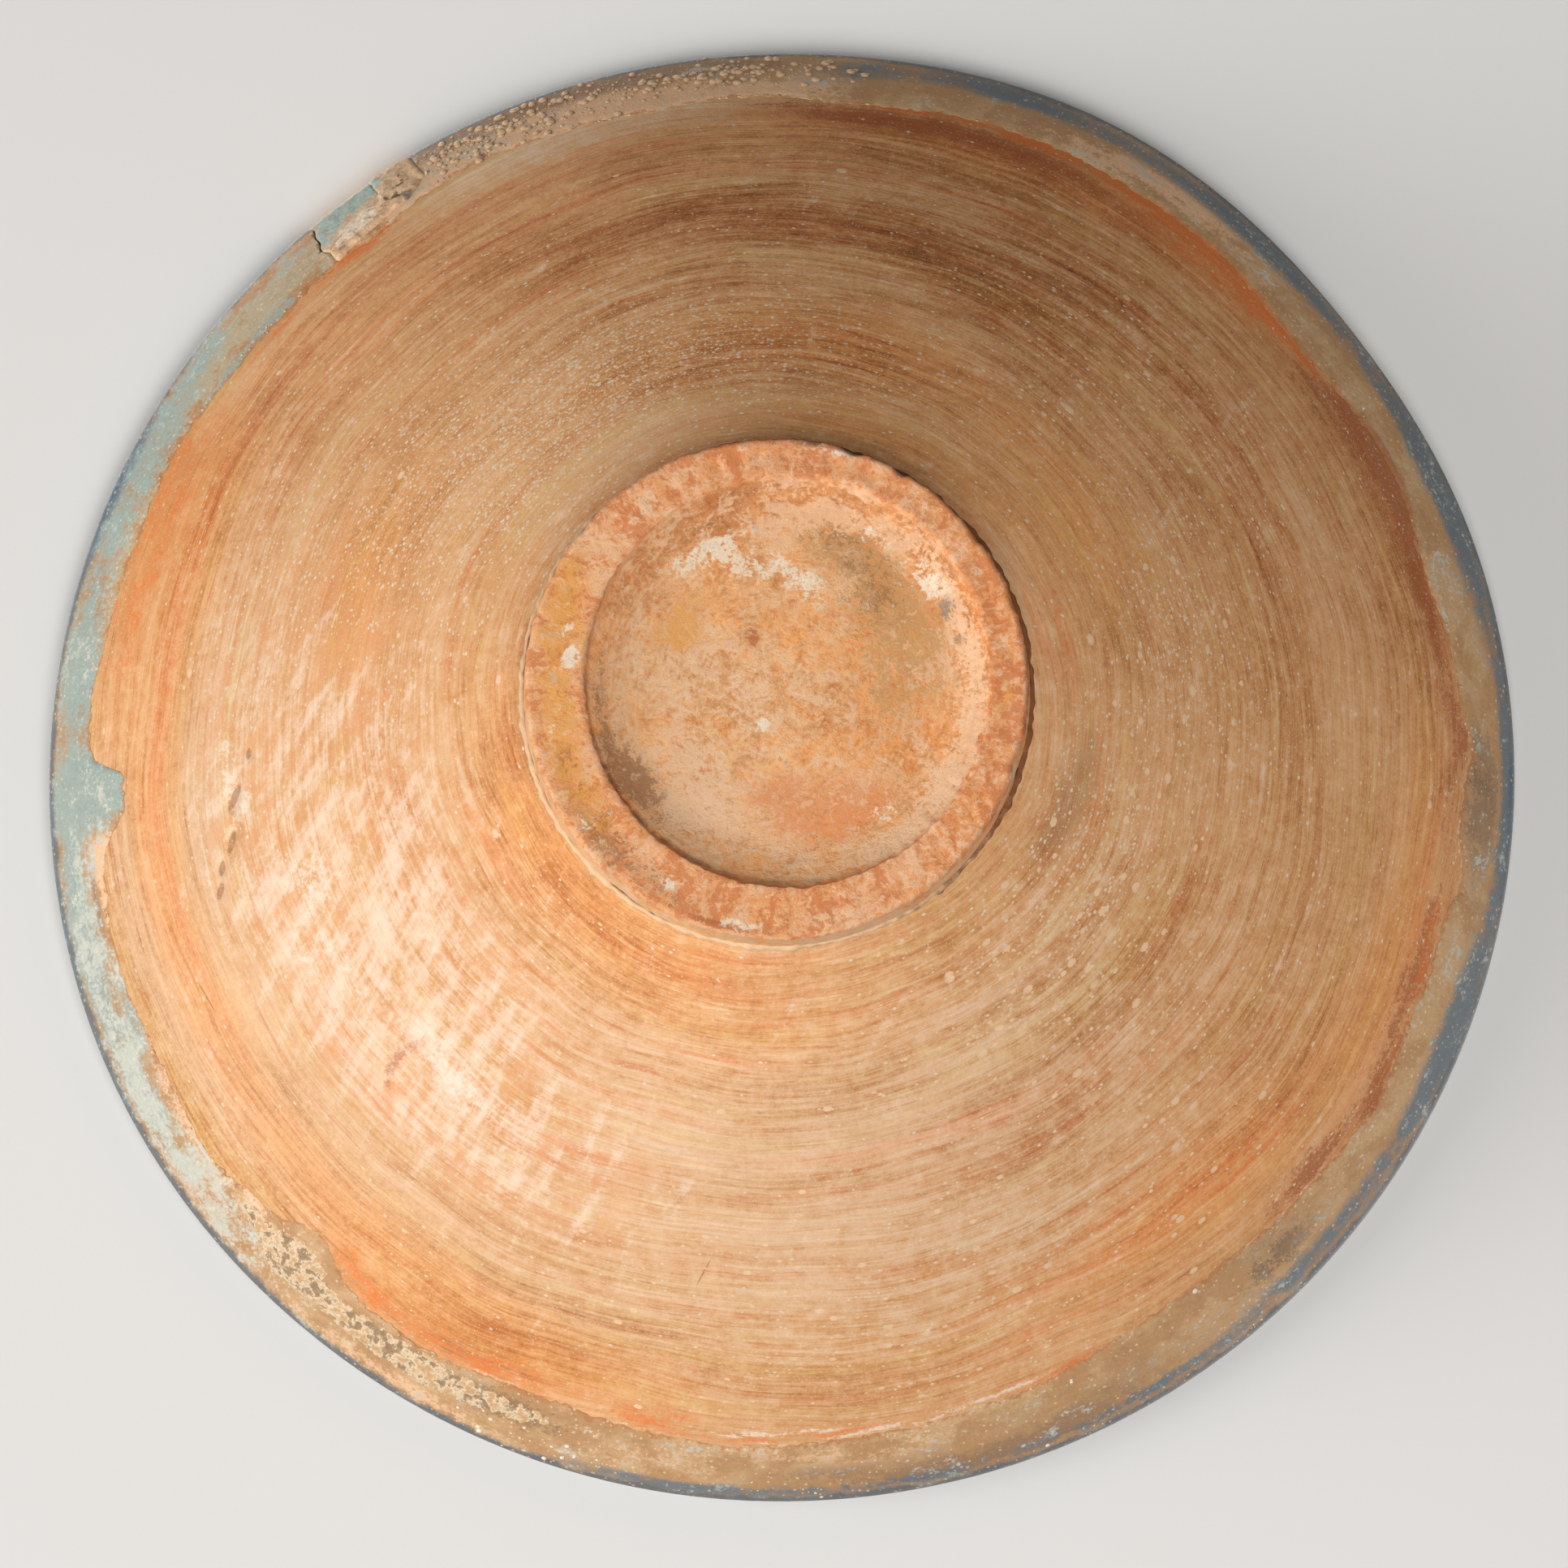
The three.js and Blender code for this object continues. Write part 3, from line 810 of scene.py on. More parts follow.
def clay_material():
    clay = Paint("terracotta")
    wander = (clay.noise(clay.place, 0.016, 2) - 0.5) * 9.0
    sweep = clay.streaks(1.2, 0.13, 3, 0.55, wander)
    streak = clay.streaks(3.0, 0.85, 5, 0.68, wander)
    hair = clay.streaks(6.5, 3.2, 3, 0.7, wander)
    band = clay.streaks(0.8, 0.3, 3, 0.6, wander)
    grain = clay.noise(clay.place, 1.1, 4, 0.75)
    mottle = clay.noise(clay.place, 0.32, 4, 0.64)
    blotch = clay.noise(clay.place, 0.14, 5, 0.62)
    cloud = clay.noise(clay.place, 0.03, 3, 0.55)
    # pale and brown also carry a few patches of painted light and shade
    pale = clay.amount("pale")
    brown = clay.amount("brown")

    tones = [
        (sweep, 0.45), (streak, 0.55), (hair, 0.5), (grain, 0.4), (mottle, 0.3), (cloud, 0.35),
        (blotch, 0.15),
    ]
    lively = clay.step(brown - pale, -0.9, 0.9) * 0.7 + 0.65
    clay.ramp(0.52 + pale * 0.05 - brown * 0.13 + clay.around(0.0, tones) * lively, CLAY_STOPS)
    hues = [(cloud, 1.2), (sweep, 0.8), (streak, 0.7), (mottle, 0.9), (blotch, 0.4)]
    clay.tint(ORANGE_TINT, clay.step(clay.around(clay.amount("orange") * 0.9, hues), -0.1, 1.0))
    lean_hue = clay.around(band, [(streak, 0.4), (mottle, 0.2)])
    clay.tint(OLIVE_TINT, clay.step(lean_hue, 0.50, 0.72))
    clay.tint(RED_TINT, clay.step(lean_hue, 0.48, 0.28))
    film = clay.around(0.3 + brown * 0.1, [(streak, 1.5), (sweep, 1.2), (grain, 0.7)])
    clay.lay(CLAY_FILM, clay.step(film, 0.45, 0.95) * 0.45)
    haze = clay.around(clay.amount("haze"), [(mottle, 2.2), (streak, 1.8), (hair, 0.8)])
    clay.tint(HAZE_TINT, clay.step(haze, 0.0, 1.1) * 0.85)

    lean = math.radians(STROKE_LEAN)
    stroke_along = clay.x * math.cos(lean) - clay.y * math.sin(lean)
    stroke_across = clay.x * math.sin(lean) + clay.y * math.cos(lean)
    stroke = clay.noise(clay.vector(stroke_along * 0.07, stroke_across * 0.34, clay.z * 0.05), 1.0, 3, 0.6)
    rubbed = [(stroke, 3.0), (mottle, 1.1), (grain, 1.1), (streak, 1.0), (hair, 0.9)]
    wash = clay.around(clay.step(pale, 0.0, 1.4), rubbed)
    clay.lay(CLAY_SALMON, clay.step(wash, 0.6, -0.1) * clay.step(pale, 0.25, 0.9) * 0.5)
    clay.lay(CLAY_CREAM, clay.step(wash, 0.35, 1.5) * 0.75)

    clay.mark(CLAY_WHITE, "scuff", [(grain, 2.2), (mottle, 1.6)], 0.4, 1.2, 0.65)
    clay.mark(CLAY_GREY, "grey", [(streak, 2.4), (grain, 1.6)], 0.3, 1.2, 0.4)
    clay.mark(CLAY_RED, "red", [(grain, 3.6), (hair, 1.6)], 0.4, 1.3, 0.6)
    # Scratches, and in the tool marks painted shade as well as darker clay
    for start, end, width in scratches:
        ragged = clay.around(clay.scratch(start, end, width), [(grain, 1.2)])
        clay.lay(CLAY_SCRATCH_AND_SHADE, clay.step(ragged, 0.3, 1.1) * 0.6)

    heat = [(streak, 3.0), (blotch, 1.8), (grain, 2.8), (hair, 1.4)]
    for colour, name, low, strength in (
        (FLASH_BROWN, "scorch", 0.2, 0.75), (FLASH_ORANGE, "flash", 0.25, 0.8),
    ):
        near = clay.step(clay.amount(name), 0.05, 0.4)
        clay.mark(colour, name, heat, low, low + 0.8, near * strength)
    # Painted highlights: cream lines on ridges near the glaze edge
    clay.mark(CLAY_CREAM, "ridge_highlight", [(streak, 1.6), (grain, 2.0), (blotch, 1.4)], 0.5, 0.9, 0.8)

    splash = clay.amount("splash")
    clay.lay(SLIP_SPECK, clay.dots(2.2, splash * 0.9 + 0.03) * 0.55)
    clay.lay(SLIP_SPECK, clay.dots(1.2, splash * 0.4 + 0.02) * 0.5)
    clay.height = streak * 0.4 + hair * 0.3 + grain * 0.4
    return clay.finish(0.88 - streak * 0.08, bump=0.3, specular=0.25)


# Foot and base

FOOT_STOPS = [
    (0.1, linear(168, 106, 62)), (0.35, linear(212, 150, 98)), (0.5, linear(230, 176, 127)),
    (0.7, linear(240, 198, 152)), (0.95, linear(250, 226, 194)),
]
FACE_CLAY = linear(228, 152, 100)
FACE_RED = linear(206, 122, 72)
FACE_PALE = linear(238, 196, 158)
BASE_CLAY = linear(222, 140, 88)
OLIVE = linear(184, 140, 86)
CHALK = linear(242, 228, 204)
OCHRE = linear(230, 162, 84)
DIRT_AND_SHADE = linear(146, 100, 64)
RUST = linear(176, 90, 46)
SOOT_AND_SHADE = linear(96, 84, 76)
CREVICE_SHADE = linear(124, 66, 36)

# Patches on the base and the foot: direction, radius, half length, half width, strength, in mm
foot_marks = {
    "chalk": [
        (-113, 26.5, 5, 3, 0.9), (-100, 21.5, 7, 2.2, 0.8), (-82, 19, 5, 2, 0.7), (-127, 27, 3, 2, 0.6),
        (-40, 30, 3, 3, 0.6), (-31, 30.5, 4, 3, 0.6), (121, 6.1, 1.2, 1.2, 1.7), (49, 26, 4, 2, 0.7),
        (-68, 16.5, 4, 2, 0.5), (-171, 35, 2.2, 1.3, 1.5), (-164, 36.5, 2, 1.2, 0.8),
        (146, 39, 2, 1, 0.8), (100, 39.3, 4, 0.9, 0.9), (22, 39.8, 4, 0.5, 0.8), (-78, 40.2, 5, 0.7, 0.9),
        (120, 37, 1.5, 1.2, 0.9), (170, 38, 2, 1, 0.7), (-60, 30, 6, 2, 0.5),
    ],
    "olive": [
        (-45, 24, 15, 6, 0.8), (-70, 26, 11, 4, 0.6), (-15, 23, 11, 6, 0.5), (-40, 14, 11, 6, 0.5),
        (12, 18, 8, 5, 0.4),
    ],
    "wash": [
        # The wash patches at radii 29.5 to 32 mm, on the recess slope at the right, are painted light; the
        # rest are the clay's own paler colour
        (127, 24, 9, 6, 1.1), (157, 18, 9, 5, 0.8), (180, 6, 8, 6, 0.6), (30, 30, 13, 3, 0.9),
        (58, 30.5, 10, 2.5, 0.8), (-20, 29.5, 10, 2.5, 0.5), (-32, 32, 12, 2, 0.9), (8, 32, 12, 2, 0.9),
        (75, 38, 9, 3, 0.7), (40, 38.5, 6, 2, 0.5), (-128, 38, 5, 2.5, 0.6), (-95, 38, 5, 2, 0.4),
    ],
    "ochre": [
        (-147, 20, 6, 4, 1.2), (-155, 39, 6, 4, 1), (-168, 37, 6, 4, 1), (176, 37, 6, 4, 0.9),
        (160, 37, 8, 4, 0.9), (145, 37, 7, 3, 0.6), (3, 36.5, 3, 2, 0.8), (47, 28, 4, 2, 0.6),
        (-20, 24, 7, 4, 0.4), (95, 38, 8, 3, 0.5), (70, 37, 7, 3, 0.4),
    ],
    "dirt_and_shade": [
        (148, 28, 6, 3.5, 1), (-75, 28, 6, 3, 0.4), (-35, 16, 10, 7, 0.3), (-60, 24, 8, 5, 0.3),
        (-141, 25, 3, 2, 0.6), (140, 38, 12, 3, 0.8), (160, 38, 10, 3, 0.5), (115, 38.5, 8, 2, 0.4),
        # The dirt patch at 150 degrees, on the recess slope at the lower left, is painted shade
        (-48, 25, 12, 6, 0.35), (-28, 30, 5, 3, 0.3), (175, 30, 12, 1.5, 0.6), (150, 29, 14, 2, 0.4),
    ],
    "rust": [
        (-119, 10.6, 1.5, 1.7, 1.5), (-86, 21, 2.2, 0.9, 0.9), (-70, 13, 2, 1.2, 0.6),
        (80, 25, 5, 2, 0.4), (106, 40, 9, 0.8, 1.2), (135, 36, 8, 2, 0.5), (158, 36.5, 8, 2, 0.5),
        (-82, 38, 14, 2.5, 0.45), (-30, 38, 12, 2, 0.35),
    ],
    "clay": [
        (72, 21, 10, 5, 1.1), (95, 16, 8, 4, 0.7), (55, 25, 7, 3, 0.7), (0, 12, 8, 5, 0.5),
        (-100, 12, 7, 3, 0.4),
    ],
    "soot_and_shade": [
        (-28, 30.2, 2.4, 2, 0.9), (-17, 30, 1.6, 1.2, 0.9), (-141, 24.5, 1.6, 1.2, 0.7),
        # The long thin soot patch at -83 degrees, along the foot's outer edge at the upper right, is painted
        # shadow
        (-87, 19.5, 1.6, 0.8, 0.7), (-83, 40.6, 12, 0.5, 0.9),
    ],
}

# Chips out of the foot's outer edge: direction, spread in degrees, mm lost
foot_chips = [
    (-72, 2.5, 0.7), (-60, 1.6, 0.8), (-37, 2.2, 0.6), (-20, 1.8, 0.5), (18, 2.4, 0.7), (28, 1.5, 0.5),
    (128, 3.5, 0.5), (-140, 2, 0.4),
]
foot_flare = [(78, 40, 0.55)]


def foot_material():
    foot = Paint("worn_foot")
    streak = foot.streaks(3.5, 0.55, 4, 0.65)
    hair = foot.streaks(8.0, 1.6, 3, 0.7)
    grain = foot.noise(foot.place, 1.2, 4, 0.75)
    flake = foot.noise(foot.place, 0.3, 7, 0.72, 0.6)
    scab = foot.noise(foot.place, 0.55, 6, 0.68, 0.8)
    chip = foot.streaks(11.0, 0.12, 6, 0.68)
    cloud = foot.noise(foot.place, 0.07, 4, 0.6)
    swirl = foot.streaks(1.8, 0.22, 5, 0.66, (cloud - 0.5) * 30.0)
    face = foot.amount("face")
    slope = foot.amount("slope")
    tones = [(streak, 0.35), (hair, 0.3), (grain, 0.6), (flake, 0.8), (cloud, 0.4)]
    # The slope amount lightens and darkens the recess slope by direction: painted light and shade
    foot.ramp(foot.around(0.5 + slope * 0.16 - foot.x * 0.0025, tones), FOOT_STOPS)
    hues = [(cloud, 2.4), (flake, 1.6), (streak, 0.8)]
    foot.tint(ORANGE_TINT, foot.step(foot.around(0.3, hues), 0.1, 0.9) * 0.8)
    wiped = foot.around(swirl, [(hair, 0.25), (scab, 0.2)])
    foot.lay(FACE_PALE, foot.step(wiped, 0.53, 0.60) * 0.55)
    foot.tint(ORANGE_TINT, foot.step(wiped, 0.48, 0.40) * 0.8)
    foot.lay(FACE_CLAY, face * 0.55)
    split = foot.around(chip, [(grain, 0.25), (scab, 0.5), (flake, 0.6)])
    foot.lay(FACE_RED, face * foot.step(split, 0.48, 0.42) * 0.65)
    foot.lay(FACE_PALE, face * foot.step(split, 0.56, 0.59) * 0.45)
    # Some wash patches are painted light, and some dirt and soot patches painted shade
    for colour, name, strength in (
        (BASE_CLAY, "clay", 0.7), (FACE_PALE, "wash", 0.65), (OLIVE, "olive", 0.65), (DIRT_AND_SHADE, "dirt_and_shade", 0.7),
        (OCHRE, "ochre", 0.8), (RUST, "rust", 0.75), (CHALK, "chalk", 0.8), (SOOT_AND_SHADE, "soot_and_shade", 0.65),
    ):
        foot.mark(colour, name, [(flake, 2.6), (scab, 1.8), (grain, 2.0)], 0.45, 0.9, strength)
    flecks = foot.around(scab, [(grain, 0.35)])
    foot.lay(FACE_PALE, foot.step(flecks, 0.56, 0.62) * 0.5)
    foot.lay(FACE_RED, foot.step(flecks, 0.42, 0.36) * 0.35)
    # Painted shade: dark lines along the foot's inner edge at the lower left and its outer edge at the upper
    # right
    shade_breakup = foot.step(foot.around(0.5, [(flake, 1.8), (grain, 0.8)]), 0.25, 0.6)
    foot.lay(CREVICE_SHADE, foot.amount("crevice_shade") * shade_breakup * 0.8)
    foot.height = flake * 0.9 + scab * 0.5 + grain * 0.4
    return foot.finish(0.85, bump=0.5, specular=0.25)


# Glaze

GLAZE_TAN = linear(186, 142, 98)
GLAZE_SAND = linear(204, 164, 120)
GLAZE_OLIVE = linear(158, 126, 88)
GLAZE_MILK = linear(152, 173, 168)
GLAZE_SLATE = linear(86, 112, 126)
GLAZE_TEAL = linear(58, 96, 114)
GLAZE_PINK = linear(241, 194, 154)
GLAZE_BROWN = linear(146, 114, 86)
GLAZE_CREAM = linear(234, 206, 170)
GLAZE_FROST = linear(204, 201, 186)
GLAZE_BUFF = linear(188, 174, 144)
EDGE_CLAY = linear(184, 120, 72)
GLAZE_SOIL = linear(112, 88, 66)
POOL_TEAL = linear(40, 116, 124)
POOL_MILK = linear(120, 180, 176)

# Patches on the lap: direction, mm down from the lip, half length round the rim, half width, strength
lap_marks = {
    "milk": [
        (177, 14, 7, 12, 1.5), (165, 4, 26, 5, 1.2), (150, 5, 16, 6, 0.6), (-168, 5, 26, 6, 0.8),
        (-155, 4, 16, 4, 0.6), (-145, 3, 14, 5, 0.7), (-141, 14, 20, 2, 1), (-153, 10, 14, 3, 0.7),
        (138, 6, 10, 4, 0.4), (-174, 8, 10, 5, 0.6), (158, 11, 8, 3, 0.4), (-134, 4, 8, 4, 0.5),
    ],
    "buff": [
        (-145, 8, 22, 7, 1), (-135, 9, 10, 6, 0.7), (-161, 7, 20, 2.5, 0.7), (-165, 12, 30, 3, 0.5),
        (165, 12, 14, 3, 0.4), (-118, 9, 14, 5, 0.4),
    ],
    "frost": [
        (152, 4, 24, 5, 0.7), (163, 6, 16, 5, 0.5), (140, 5, 14, 5, 0.5), (143, 11, 10, 4, 0.4),
        (-168, 8, 16, 3, 0.4), (170, 8, 8, 4, 0.3), (-150, 11, 8, 2, 0.3), (176, 15, 5, 6, 0.5),
    ],
    "slate": [
        (-72, 3, 24, 4, 1), (-48, 3, 30, 4, 1), (-22, 3.5, 28, 4.5, 1.1), (2, 1.5, 30, 2.6, 1),
        (22, 3.5, 20, 4, 1.1), (40, 3, 24, 3.5, 0.9), (60, 1.8, 24, 2.4, 0.7), (82, 1.5, 26, 2, 0.7),
        (-84, 6, 8, 5, 0.6), (100, 1.2, 24, 1.6, 0.8), (-158, 0.8, 22, 1.8, 1), (-156, 2.5, 14, 2, 0.6),
    ],
    "brown": [
        (-102, 3, 30, 4, 1.2), (-117, 2.5, 14, 3.5, 0.9), (3, 9, 16, 7, 0.9), (112, 9, 14, 4, 0.5),
        (45, 11, 10, 5, 0.8), (124, 9, 16, 3, 0.5), (88, 6, 16, 3, 0.4), (68, 6, 34, 4, 0.6),
        (74, 2.5, 36, 2.5, 0.9), (179.6, 15, 1.6, 6, 1.2), (158, 10, 16, 1.5, 0.6),
        (168, 9.5, 8, 1.2, 0.9),
    ],
    "pink": [
        (122, 2, 26, 2.2, 0.6), (100, 6, 20, 4, 0.3), (-55, 9, 16, 3, 0.9), (150, 12, 16, 4, 0.9),
        (-114, 11, 34, 5, 1.5), (84, 10, 20, 4, 0.5), (140, 14, 10, 4, 0.8), (-92, 13, 16, 2.5, 0.8),
        (-62, 11, 16, 3, 0.7), (-120, 9, 10, 5, 1), (-108, 10, 24, 3.5, 0.8), (-108, 14.5, 34, 2.5, 1.5),
        (168, 13, 10, 3, 1.2), (171.5, 15, 4, 5, 1),
    ],
    "blister": [
        (-104, 6, 28, 3.5, 1), (-116, 6, 12, 4, 1), (-92, 7, 10, 3, 0.8), (-108, 11, 24, 2.5, 0.5),
        (-86, 7, 6, 3, 0.3),
    ],
    "crumb": [
        (3, 9, 16, 7, 0.8), (45, 10, 14, 5, 0.9), (112, 9, 14, 5, 1), (88, 7, 22, 5, 0.5),
        (126, 9, 24, 6, 0.6), (60, 12, 20, 4, 0.2), (-105, 12, 34, 3, 0.4),
    ],
    "chip": [
        (50, 0.2, 2.5, 0.8, 1.5), (65, 0.3, 1.2, 0.8, 1.5), (70, 0.5, 1, 0.8, 1.3), (65.5, 13, 1, 1, 0.9),
        (88, 1, 2, 1, 0.6), (92, 3, 3, 2, 0.3), (107, 3, 8, 2, 0.35), (112, 5, 6, 3, 0.35),
        (52.5, 17.5, 1.2, 1, 0.8), (-31, 12, 0.9, 2.2, 0.8),
    ],
}


def glaze_material():
    glaze = Paint("turquoise_glaze")
    grain = glaze.noise(glaze.place, 1.3, 4, 0.75)
    cloud = glaze.noise(glaze.place, 0.10, 5, 0.62, 0.4)
    blotch = glaze.noise(glaze.place, 0.35, 6, 0.7)
    streak = glaze.streaks(4.0, 0.5, 4, 0.62)
    glaze.start(GLAZE_TAN)
    glaze.lay(GLAZE_SAND, glaze.step(glaze.around(0.5, [(cloud, 2.0), (streak, 0.8)]), 0.3, 0.7))
    glaze.lay(GLAZE_OLIVE, glaze.step(glaze.around(0.4, [(streak, 1.6), (blotch, 0.8)]), 0.4, 0.9) * 0.6)
    for colour, name, strength, uneven in (
        (GLAZE_PINK, "pink", 0.75, 1.0), (GLAZE_BROWN, "brown", 0.8, 1.0), (GLAZE_BUFF, "buff", 0.8, 1.0),
        (GLAZE_SLATE, "slate", 0.85, 0.6), (GLAZE_MILK, "milk", 0.85, 0.75),
        (GLAZE_FROST, "frost", 0.75, 1.2),
    ):
        noises = [(cloud, 2.0), (streak, 1.5), (grain, 1.6), (blotch, 1.8)]
        noises = [(noise, weight * uneven) for noise, weight in noises]
        glaze.mark(colour, name, noises, 0.25, 0.9, strength)
    glaze.mark(GLAZE_TEAL, "down", [(cloud, 4.0), (blotch, 2.5), (grain, 1.5)], 1.0, -0.6, 0.75)
    glaze.mark(GLAZE_SOIL, "crumb", [(grain, 2.6), (blotch, 1.6)], 0.7, 1.0, 0.5)
    glaze.lay(GLAZE_CREAM, glaze.dots(1.0, glaze.amount("crumb") * 0.3 + 0.03) * 0.6)
    glaze.lay(GLAZE_CREAM, glaze.step(glaze.around(blotch, [(grain, 0.4)]), 0.64, 0.76) * 0.4)
    heat = [(streak, 1.6), (blotch, 1.6), (grain, 1.5)]
    glaze.mark(FLASH_BROWN, "scorch", heat, 0.55, 1.1, 0.6)
    glaze.mark(FLASH_ORANGE, "flash", heat, 0.55, 1.1, 0.55)
    glaze.mark(EDGE_CLAY, "edge", [(blotch, 5.0), (grain, 2.5), (cloud, 3.0)], 0.5, 0.1, 0.6)
    glaze.dim(glaze.around(1.0, [(grain, 0.6), (blotch, 0.35)]))

    inner = glaze.amount("inner")
    outside_colour = glaze.colour
    glaze.start(POOL_MILK)
    pool = glaze.step(glaze.around(glaze.z, [(cloud, 30.0)]), 60.0, 12.0)
    glaze.lay(POOL_TEAL, pool)
    glaze.lay(GLAZE_MILK, glaze.step(glaze.around(0.4, [(cloud, 2.2), (blotch, 0.8)]), 0.45, 0.9) * 0.35)
    cells = {"Vector": glaze.place, "Scale": 0.16}
    crack = glaze.node("ShaderNodeTexVoronoi", cells, feature="DISTANCE_TO_EDGE")
    glaze.lay(GLAZE_TEAL, glaze.step(glaze.around(crack, [(blotch, 0.02)]), 0.02, 0.008) * 0.5)
    glaze.dim(glaze.around(1.0, [(grain, 0.3), (blotch, 0.2)]))
    inside_colour = glaze.colour
    glaze.colour = outside_colour
    glaze.lay(inside_colour, inner)
    glaze.height = blotch * 0.5 + grain * 0.5
    roughness = 0.66 - inner * 0.4 + (grain - 0.5) * 0.2
    return glaze.finish(roughness, bump=0.3, specular=0.35, coat=inner * 0.5)


CRUST_STOPS = [
    (0.34, linear(158, 130, 100)), (0.44, linear(178, 148, 114)), (0.475, linear(224, 198, 164)),
    (0.52, linear(230, 208, 176)), (0.57, linear(216, 176, 132)), (0.68, linear(204, 160, 114)),
]
crust_zones = [
    (111, 9, 14, 5, 0.8), (120, 8, 13, 5, 1), (127, 8, 12, 4.5, 0.9), (133.5, 12, 8, 6, 1.1),
    (140, 11, 10, 4, 0.8), (150, 9.5, 14, 2.5, 0.5), (105, 10, 5, 3, 0.5), (136, 5, 10, 4, 0.5),
]
crust_closeness = 0.5

# Where the sheet of crust lies: between which directions, over which shares of the lap, and how far it sinks
# into the glaze away from the crust's patches
crust_arc = 99, 165
crust_span = 0.12, 0.98
crust_sunk = 0.4 * MM


def crust_material():
    crust = Paint("crust")
    lumps = crust.noise(crust.scaled(crust.place, crust_closeness), 1.0, 3, 0.55)
    grain = crust.noise(crust.place, 1.2, 4, 0.75)
    flake = crust.noise(crust.place, 0.7, 5, 0.7, 0.8)
    crust.ramp(crust.around(lumps, [(grain, 0.3), (flake, 0.45)]), CRUST_STOPS)
    crust.lay(GLAZE_SOIL, crust.step(flake, 0.38, 0.32) * 0.4)
    crust.dim(crust.around(1.0, [(grain, 0.5)]))
    crust.height = grain + flake
    return crust.finish(0.85, bump=0.4, specular=0.25)


# Mended rim

SHERD_BLUE = linear(172, 188, 178)
SHERD_BUFF = linear(228, 192, 154)
SHERD_POOL = linear(104, 170, 168)
FILL_BUFF = linear(220, 182, 142)
FILL_WHITE = linear(244, 222, 196)
FILL_GREY = linear(126, 116, 106)
FILL_PIT_SHADE = linear(96, 68, 46)

# Patches on the mend: direction, mm down from the lip, half length round the rim, half width, strength
mend_marks = {
    "blue": [
        (-130, 3, 6, 4.5, 1), (-127, 2.5, 6, 3, 1), (-131, 8, 3, 2.5, 0.7), (-125.4, 1.5, 2, 2.5, 0.8),
    ],
    "white": [
        (-128.4, 11, 4, 3, 1.3), (-127.4, 9, 3, 2, 0.9), (-130.6, 11.5, 2, 2, 0.5),
        (-125.2, 5, 0.5, 4, 0.9),
    ],
    "grey": [
        (-126.4, 14.5, 1.8, 0.9, 1.2), (-123.4, 12.6, 1.2, 2, 1.1), (-122.4, 2, 1.5, 2, 0.5),
        (-130.5, 14, 1.5, 1, 0.8),
    ],
    # Dark marks for the filler's pits: painted shade where the hollows lie
    "pit_shade": [
        (-124.3, 10.6, 0.9, 0.6, 1.6), (-123, 5, 0.5, 1.6, 0.9), (-123.8, 7.6, 1.8, 0.5, 0.9),
        (-125, 9.4, 0.4, 1.2, 0.8),
    ],
}


def mend_material(name, base, inside_colour):
    """A finish of the mended place: a base colour under patches of glaze, white filler and grey."""
    mend = Paint(name)
    grain = mend.noise(mend.place, 1.2, 4, 0.75)
    blotch = mend.noise(mend.place, 0.4, 5, 0.66)
    mend.start(base)
    mend.dim(mend.around(1.0, [(grain, 0.5), (blotch, 0.5)]))
    for colour, mark, strength in (
        (SHERD_BLUE, "blue", 0.95), (FILL_WHITE, "white", 0.9), (FILL_GREY, "grey", 0.8),
        (FILL_PIT_SHADE, "pit_shade", 0.9),
    ):
        mend.mark(colour, mark, [(blotch, 3.2), (grain, 1.8)], 0.45, 0.85, strength)
    mend.mark(inside_colour, "inner", [(blotch, 1.2), (grain, 0.6)], 0.55, 0.75)
    mend.dim(mend.around(1.0, [(grain, 0.4)]))
    mend.height = blotch * 0.8 + grain * 0.5
    return mend.finish(0.82, bump=0.5)


# Finishes of small mounds and plain slip: the colour at the edge, the colour at the tip, and roughness
SPECK_FINISHES = {
    "splash": (SLIP_SPECK, linear(230, 205, 176), 0.9),
    "drop": (linear(222, 180, 138), linear(232, 194, 154), 0.9),
    "blister": (linear(166, 130, 98), linear(214, 178, 140), 0.6),
    "chip": (GLAZE_CREAM, CLAY_WHITE, 0.9),
    "crumb": (GLAZE_TAN, linear(218, 184, 146), 0.9),
    # The luting slip's two colours are painted shade and painted light, laid by direction round the foot
    "luting_slip": (linear(132, 82, 48), linear(226, 188, 148), 0.9),
    "white_slip": (linear(222, 206, 184), linear(230, 218, 200), 0.9),
}


def speck_material(name):
    low, high, roughness = SPECK_FINISHES[name]
    speck = Paint(name)
    mottle = speck.noise(speck.place, 0.5, 4, 0.6)
    speck.start(low)
    speck.mark(high, "tip", [(mottle, 0.8)], 0.2, 0.8)
    speck.dim(0.8 + mottle * 0.4)
    speck.height = mottle
    return speck.finish(roughness)


# Pieces

# Directions, in degrees, between which the tool marks need a finer mesh
fine_arc = 129, 178


def body_profile():
    """Stations of the clay from the middle of the base out, up the outside and down the inside."""
    middle = np.linspace(axis_hole, base_middle, 18)
    base = np.concatenate([middle, np.linspace(base_middle + 0.5 * MM, base_edge, 14)])
    stations = [np.stack([base, np.full_like(base, base_height)], -1)]
    stations.append(np.linspace([base_edge + 1 * MM, base_height + 0.6 * MM], shoulder, 4)[:-1])
    stations.append(outside(np.linspace(wall_length, 0, 182)))
    stations.append(lip(np.linspace(0.1, 0.9, 6)))
    stations.append(inside(np.linspace(0, 0.96 * wall_length, 6)))
    stations.append(np.array([[floor_edge, floor_height], [1 * MM, floor_height]]))
    return np.vstack(stations)


